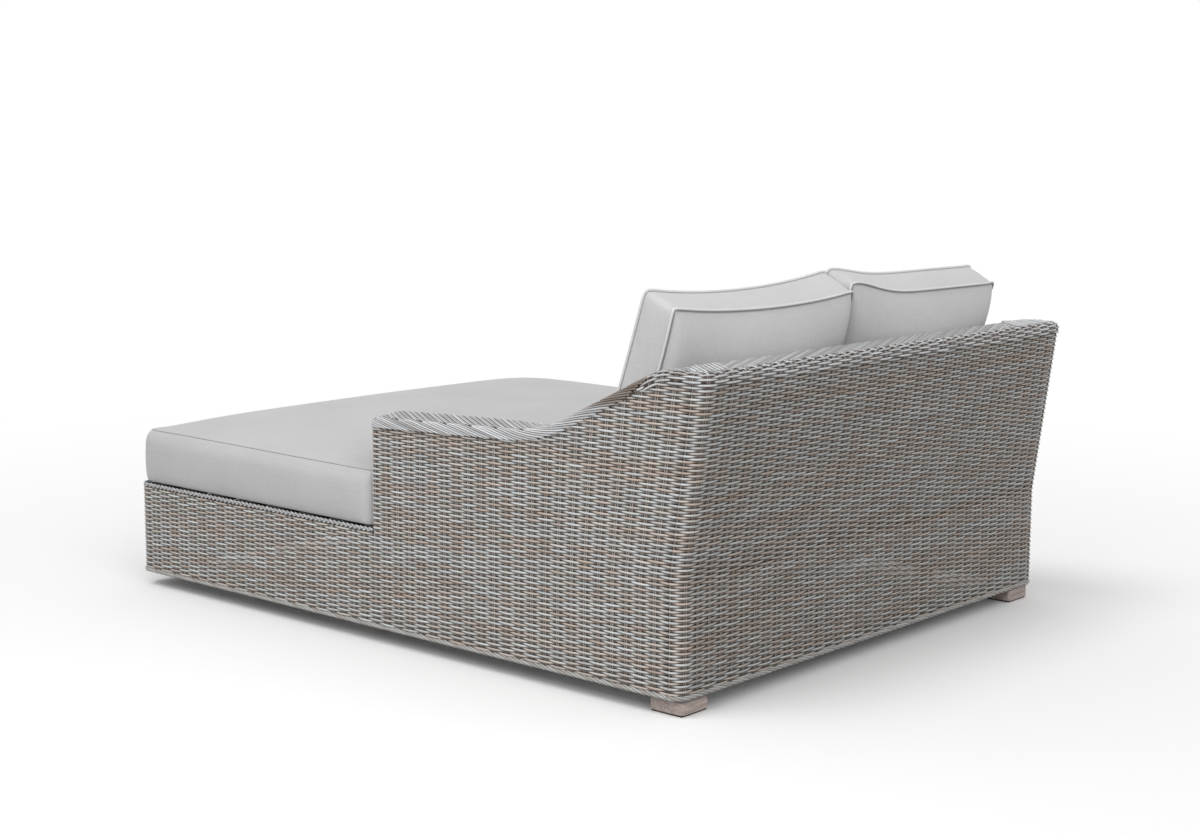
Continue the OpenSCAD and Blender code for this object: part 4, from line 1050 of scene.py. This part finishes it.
# The six blocks' boxes, read from the CAD node's corners
corners = np.array([v.co for v in frame["nodes"]["feet"].data.vertices]) * 1000 - [0, bench["rearY"], 0]
blocks = []
for side in (-1, 1):
    for y0, y1 in ((-2100, -1500), (-1500, -500), (-500, 0)):
        mine = corners[(corners[:, 0] * side > 0) & (corners[:, 1] > y0) & (corners[:, 1] < y1)]
        blocks.append(footBlock(mine.min(0), mine.max(0)))
blockPiece = buildPiece("footBlocks", joinParts(blocks), woodMaterial, smooth=False)
finishPiece(blockPiece, "frame", "foot_block", "feet")
print("feet made")

# ---- cushions
pad = {"rings": 9, "pressure": 4.0, "frames": 20}


# Closed pad on a grid of rows and columns: a top and a bottom panel, and rings of boxing
# between their rims. keep says which cells the panels have, and rim lists its border, turning left
def padQuads(keep, rim, rings, rows, cols):
    i, j = np.nonzero(keep)
    a = i * cols + j
    top = np.stack([a, a + 1, a + cols + 1, a + cols], -1)
    bottom = top[:, ::-1] + rows * cols
    n = len(rim)
    base = 2 * rows * cols
    levels = np.concatenate([[rim], base + np.arange(rings * n).reshape(rings, n), [rim + rows * cols]])
    return np.concatenate([top, bottom, ringQuads(levels)])


# Inflates a pad with Blender's cloth, holding its pinned points, and moves no point further
# than its own cap
def inflate(piece, pinned, caps, pressure):
    start = np.empty(len(piece.data.vertices) * 3)
    piece.data.vertices.foreach_get("co", start)
    start = start.reshape(-1, 3)
    group = piece.vertex_groups.new(name="held")
    group.add([int(i) for i in pinned], 1.0, "REPLACE")
    cloth = piece.modifiers.new("inflate", "CLOTH")
    cloth.settings.use_pressure = True
    cloth.settings.uniform_pressure_force = pressure
    cloth.settings.effector_weights.gravity = 0
    cloth.settings.vertex_group_mass = "held"
    cloth.settings.quality = 4
    cloth.settings.tension_stiffness = cloth.settings.compression_stiffness = 12
    cloth.settings.bending_stiffness = 0.8
    cloth.collision_settings.use_collision = False
    for f in range(1, pad["frames"] + 1):
        bpy.context.scene.frame_set(f)
    view = piece.evaluated_get(bpy.context.evaluated_depsgraph_get())
    moved = np.empty(start.size)
    view.data.vertices.foreach_get("co", moved)
    moved = moved.reshape(-1, 3) - start
    piece.modifiers.remove(cloth)
    piece.vertex_groups.remove(group)
    bpy.context.scene.frame_set(1)
    size = np.linalg.norm(moved, axis=1, keepdims=True)
    limit = np.maximum(np.asarray(caps)[:, None], 1e-9)
    moved *= limit * np.tanh(size / limit) / np.maximum(size, 1e-9)
    print(piece.name, "moved up to", round(float(np.linalg.norm(moved, axis=1).max()) * 1000, 1), "mm")
    return start + moved


# Moves a piece's points, in metres
def setPoints(piece, points):
    piece.data.vertices.foreach_set("co", np.asarray(points, np.float32).ravel())
    piece.data.update()


# A round cord laid along a closed line of points; its sides are counted from the normals
def cordAlong(line, normals, radius, sides=8):
    tangent = np.roll(line, -1, 0) - np.roll(line, 1, 0)
    tangent /= np.linalg.norm(tangent, axis=1, keepdims=True)
    across = np.cross(tangent, normals)
    across /= np.linalg.norm(across, axis=1, keepdims=True)
    up = np.cross(across, tangent)
    t = 2 * np.pi * np.arange(sides) / sides
    ring = np.cos(t)[:, None] * up[:, None] + np.sin(t)[:, None] * across[:, None]
    points = line[:, None] + radius * ring
    levels = np.arange(len(line) * sides).reshape(-1, sides)
    return points.reshape(-1, 3), ringQuads(np.concatenate([levels, levels[:1]]))


mattress = {
    "step": 15.0, "seam": 458.0, "crown": 47.0, "reach": 105.0, "inset": 21.0, "innerInset": 6.0,
    "roll": 44.0, "lowerRoll": 13.0, "bulge": 2.5, "gap": 2.0, "press": 8.5, "pressFrom": -478.0,
    "pressFade": 140.0, "puff": 0.006, "planRound": 50.0, "lift": 2.8, "seamDrop": 7.0,
}
m = mattress
wideX = bench["halfWidth"] + bench["capLip"] - 2
narrowX = capIn - m["gap"]
frontY = -bench["length"] + 9
notchY = -bench["armLength"] - bench["capNose"] - m["gap"]
rearEdge = leanY(bench["backDepth"], bench["ledge"]) - m["gap"]


# Share of the crown at a distance from an edge, 1 - exp(-distance / reach)
def rise(distance, reach):
    return 1 - np.exp(-np.maximum(0, distance) / reach)


# Rounds the two front corners in plan: each square corner zone is squeezed onto a quarter disc
def roundFront(points):
    q = m["planRound"]
    dx, dy = np.abs(points[..., 0]) - (wideX - q), (frontY + q) - points[..., 1]
    here = (dx > 0) & (dy > 0)
    squeeze = np.where(here, np.maximum(dx, dy) / np.maximum(np.hypot(dx, dy), 1e-6), 1)
    out = points.copy()
    out[..., 0] = np.where(here, np.sign(points[..., 0]) * (wideX - q + dx * squeeze), points[..., 0])
    out[..., 1] = np.where(here, frontY + q - dy * squeeze, points[..., 1])
    return out


# The T-shaped pad, as a piece and its upper seam's points
def makeMattress():
    wing = 8
    a, b = wideX - m["inset"], narrowX - m["innerInset"]
    low, mid, high = frontY + m["inset"], notchY - m["innerInset"], rearEdge - m["innerInset"]
    x = np.concatenate([np.linspace(-a, -b, wing + 1)[:-1],
                        np.linspace(-b, b, int(2 * b / m["step"]) + 1), np.linspace(b, a, wing + 1)[1:]])
    fore = int((mid - low) / m["step"])
    aft = int((high - mid) / m["step"])
    y = np.concatenate([np.linspace(low, mid, fore + 1), np.linspace(mid, high, aft + 1)[1:]])
    rows, cols = len(y), len(x)
    keep = np.ones((rows - 1, cols - 1), bool)
    keep[fore:, :wing] = False
    keep[fore:, cols - 1 - wing:] = False
    at = np.arange(rows * cols).reshape(rows, cols)
    rim = np.concatenate([
        at[0, :-1], at[:fore, -1], at[fore, cols - 1:cols - 1 - wing:-1], at[fore:-1, cols - 1 - wing],
        at[-1, cols - 1 - wing:wing:-1], at[:fore:-1, wing], at[fore, wing:0:-1], at[fore:0:-1, 0]])
    gx, gy = np.meshgrid(x, y)
    notch = np.hypot(np.maximum(0, b - np.abs(gx)), np.maximum(0, mid - gy))
    pressed = smoothStep((gy - m["pressFrom"] + m["pressFade"]) / m["pressFade"])
    r = m["reach"]
    share = rise(a - np.abs(gx), r) * rise(gy - low, r) * rise(high - gy, r) * rise(notch, r)
    seam = m["seam"] - m["seamDrop"] * smoothStep((gy - low) / (mid - low))
    top = seam + m["crown"] * share * (1 - pressed) + m["press"] * np.minimum(1, 2 * share) * pressed
    panel = np.stack([gx, gy, top], -1).reshape(-1, 3)
    under = np.stack([gx, gy, np.full(gx.shape, bench["ledge"] + m["lift"])], -1).reshape(-1, 3)
    # outward direction at the rim: square to the straight edges, diagonal at the corners
    loop = panel[rim][:, :2]
    before, after = loop - np.roll(loop, 1, 0), np.roll(loop, -1, 0) - loop
    outward = sum(np.stack([e[:, 1], -e[:, 0]], -1) / np.linalg.norm(e, axis=1, keepdims=True)
                  for e in (before, after))
    outward = np.sign(np.round(outward, 3))
    inner = loop[:, 1] > notchY - 2 * m["innerInset"]
    inset = np.where(inner, m["innerInset"], m["inset"])[:, None]
    # boxing: an arc of the upper roll from the seam, a slightly bulged side and a lower roll
    first = math.asin(1 - m["inset"] / m["roll"])
    arcs = [(m["roll"] * (math.sin(q) - 1), m["roll"] * (math.cos(first) - math.cos(q)))
            for q in np.linspace(first, math.pi / 2, 5)[1:]]
    deep = m["seam"] - bench["ledge"] - m["lift"]
    upper = arcs[-1][1]
    arcs += [(m["bulge"] * math.sin(math.pi * t), upper + (deep - m["lowerRoll"] - upper) * t)
             for t in (0.3, 0.6, 0.9)]
    arcs += [(m["lowerRoll"] * (math.cos(q) - 1), deep + m["lowerRoll"] * (math.sin(q) - 1))
             for q in (0.45, 1.0, 1.45)]
    rings = []
    for out, drop in arcs:
        z = panel[rim][:, 2] - drop * (panel[rim][:, 2] - bench["ledge"] - m["lift"]) / deep
        rings.append(np.concatenate([loop + outward * inset * (1 + out / m["inset"]), z[:, None]], 1))
    panel, under = roundFront(panel), roundFront(under)
    rings = [roundFront(ring) for ring in rings]
    points = np.concatenate([panel, under] + rings)
    quads = padQuads(keep, rim, len(rings), rows, cols)
    used = np.unique(quads)
    rim = np.searchsorted(used, rim)
    piece = buildPiece("mattressPad", (points, quads), linenCloth)
    points = points[used]
    lower = np.nonzero(points[:, 2] < bench["ledge"] + m["lift"] + 1)[0]
    caps = np.where(points[:, 2] > m["seam"] + 0.1, m["puff"], 0.002)
    caps = np.where(points[:, 1] > m["pressFrom"] - 40, 0.0015, caps)
    setPoints(piece, inflate(piece, np.concatenate([lower, rim]), caps, pad["pressure"]))
    return piece, rim


# Divides each cell of a pad in four and smooths them
def subdivide(piece):
    finer = piece.modifiers.new("finer", "SUBSURF")
    finer.levels = finer.render_levels = 1
    made = bpy.data.meshes.new_from_object(piece.evaluated_get(bpy.context.evaluated_depsgraph_get()))
    old = piece.data
    piece.modifiers.clear()
    piece.data = made
    bpy.data.meshes.remove(old)
    made.name = piece.name


# Lays a cord along a rim of the finished pad: its points are raised along their normals and shifted
def addSeam(name, piece, rim, radius, raised, body, material, shift=(0, 0, 0)):
    line, normal = np.empty((2, len(piece.data.vertices), 3))
    piece.data.vertices.foreach_get("co", line.reshape(-1))
    piece.data.vertices.foreach_get("normal", normal.reshape(-1))
    line, normal = line[rim], normal[rim]
    centre = line + (normal * raised + np.array(shift)) * 0.001
    points, quads = cordAlong(centre, normal, radius * 0.001)
    cord = buildPiece(name, ((points - [0, bench["rearY"] * 0.001, 0]) * 1000, quads), material)
    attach(cord, body)


mattressPiece, mattressRim = makeMattress()
subdivide(mattressPiece)
addSeam("mattressSeam", mattressPiece, mattressRim, 1.05, 0.25, "mattress", seamAndShadowCloth)
finishPiece(mattressPiece, "mattress", "cushion_fabric", "mattress")

cushion = {
    "lean": math.radians(20), "high": 530.0, "boxing": 92.0, "front": 42.0, "rearEdge": 46.0, "rear": 66.0,
    "drawIn": 4.0, "back": 159.0, "gap": 4.0, "rest": 468.3, "puff": 0.006, "step": 13.0, "piping": 3.3,
    "cornerCut": 5.4, "push": 9.0,
}
c = cushion
cushionWide = innerX - bench["capLip"] - 2 * c["gap"]
cushionX = (innerX - bench["capLip"]) / 2
cushionTop = c["rest"] + (c["high"] - 16) * math.cos(c["lean"])


# How the upper corners of the two cushions have slumped: the shift back and up of the top edge at
# u, for the rear panel and for the front one. The left cushion sags between its corners; the
# right one stands up in a knob at the middle of the bed and is low beyond it
def slump(u, rear, right):
    if right:
        knob = np.exp(-((u + 1) / 0.42) ** 2)
        back = 22.5 + 10.5 * u + rear * (-8.5 - 2.5 * u)
        up = -19 + 25 * knob + rear * (-11.6 + 13 * knob) + 3 * smoothStep((u - 0.86) / 0.14)
        return back, up
    sag = np.maximum(0, 1 - u ** 2) ** 0.8
    return -12 * u - rear * (1.5 + 0.5 * u), 0.5 - 4.5 * u - 27 * sag + rear * (-12.5 + 4.5 * u + 5 * sag)


# Point of a cushion at u across, v up and t through it, on its leaning plane: the corners are
# rounded by cut |u|^(wide / 4 cut) |v|^(high / 4 cut), less so behind, the sides draw in by
# drawIn (1 - v^2), the top has slumped, and where the two meet the left one pushes into the right one
def cushionPoint(u, v, t, right):
    size = c["cornerCut"] - 1.6 * np.clip(t / c["boxing"], -0.5, 0.5)
    cut = size * np.abs(u) ** (cushionWide / 4 / size) * np.abs(v) ** (c["high"] / 4 / size)
    x = u * (cushionWide / 2 - c["drawIn"] * (1 - v ** 2) * u ** 2) - np.sign(u) * cut
    bulge = 5 * np.cos(np.clip(t / c["boxing"], -0.5, 0.5) * math.pi)
    x += (bulge + 3 if right else -bulge - c["push"]) * np.maximum(0, -u) ** 8
    h = (v - 1) * c["high"] / 2 - np.sign(v) * cut
    back, up = slump(u, np.clip(0.5 + t / c["boxing"], 0, 1), right)
    share = ((1 + v) / 2) ** 2
    z = cushionTop + h * math.cos(c["lean"]) - t * math.sin(c["lean"]) + share * up
    y = -c["back"] + h * math.sin(c["lean"]) + t * math.cos(c["lean"]) + share * back
    x = cushionX + x
    return np.stack([-x if right else x, y, np.maximum(c["rest"], z)], -1)


# A back cushion, as a piece and the points of its rear and front seams
def makeCushion(name, seed, right):
    cols, rows = int(cushionWide / c["step"]), int(c["high"] / c["step"])
    u, v = np.meshgrid(np.linspace(-1, 1, cols), np.linspace(-1, 1, rows))
    # cells are smaller towards the edges
    u, v = (np.sin(q * math.pi / 2 * 0.8) / math.sin(math.pi / 2 * 0.8) for q in (u, v))
    share = np.maximum(0, (1 - u ** 4) * (1 - v ** 4)) ** 0.6
    rng = np.random.default_rng(seed)
    crease = sum(rng.normal(0, 1) * np.sin(rng.uniform(2, 7) * u + rng.uniform(2, 6) * v + rng.uniform(0, 6))
                 for _ in range(6)) * 0.9
    # soft upright folds where the cover is slack, and gathers that fan out of the lower inner corner
    folds = sum(h * np.exp(-((u - at - 0.05 * v) / w) ** 2) for at, w, h in zip(
        rng.uniform(-0.7, 0.8, 7), rng.uniform(0.02, 0.04, 7), rng.uniform(0.8, 1.4, 7)))
    gathers = 5.0 * np.sin(10 * np.arctan2(v + 0.6, u + 1.05)) * np.exp(-np.hypot(u + 1, v - 0.1) * 2.6)
    folds = folds * smoothStep((v + 0.9) / 0.8) * smoothStep((0.95 - v) / 0.5) + gathers
    # behind, the cover first stands out at its edges, then fills up evenly towards its middle
    full = c["rearEdge"] * (1 - u ** 20) ** 0.4 * (1 - np.abs(v) ** 5) + c["rear"] * (1 - u ** 2) * (
        1 - 1.6 * v ** 2 + 0.6 * v ** 4)
    rear = cushionPoint(u, v, c["boxing"] / 2 + full + (crease + folds) * share, right).reshape(-1, 3)
    front = cushionPoint(u, v, -c["boxing"] / 2 - c["front"] * share + crease * share, right).reshape(-1, 3)
    at = np.arange(rows * cols).reshape(rows, cols)
    rim = np.concatenate([at[0, :-1], at[:-1, -1], at[-1, :0:-1], at[:0:-1, 0]])
    ru, rv = u.ravel()[rim], v.ravel()[rim]
    rings = []
    for t in np.linspace(1, 0, pad["rings"] + 2)[1:-1]:
        swell = 1 + 0.010 * math.sin(math.pi * t)
        rings.append(cushionPoint(ru * swell, rv * swell, c["boxing"] * (t - 0.5), right))
    points = np.concatenate([rear, front] + rings)
    # the rear panel is the first: seen from behind, its columns run to the left
    quads = padQuads(np.ones((rows - 1, cols - 1), bool), rim, pad["rings"], rows, cols)
    quads = quads if right else quads[:, ::-1]
    piece = buildPiece(name, (points, quads), cushionLitCloth)
    frontRim = rim + rows * cols
    resting = np.nonzero(points[:, 2] < c["rest"] + 0.5)[0]
    caps = np.full(len(points), c["puff"])
    caps[:rows * cols] = 0.004
    held = np.unique(np.concatenate([resting, rim, frontRim]))
    setPoints(piece, inflate(piece, held, caps, pad["pressure"]))
    return piece, rim, frontRim


for side, seed in (("left", 5), ("right", 8)):
    piece, rearRim, frontRim = makeCushion(side + "BackCushion", seed, side == "right")
    subdivide(piece)
    body = side + "_back_cushion"
    through = np.array([0, math.cos(c["lean"]), -math.sin(c["lean"])])
    for end, rim, way in (("Rear", rearRim, 1), ("Front", frontRim, -1)):
        addSeam(side + end + "Piping", piece, rim, c["piping"], 3.2, body, pipingCloth)
        # a thin dark cord beside each piping: painted shadow along it
        addSeam(side + end + "ShadowLine", piece, rim, 1.6, 1.0, body, seamAndShadowCloth, way * 4.2 * through)
    finishPiece(piece, body, "cushion_fabric", "back_cushion_" + side)
print("cushions made")
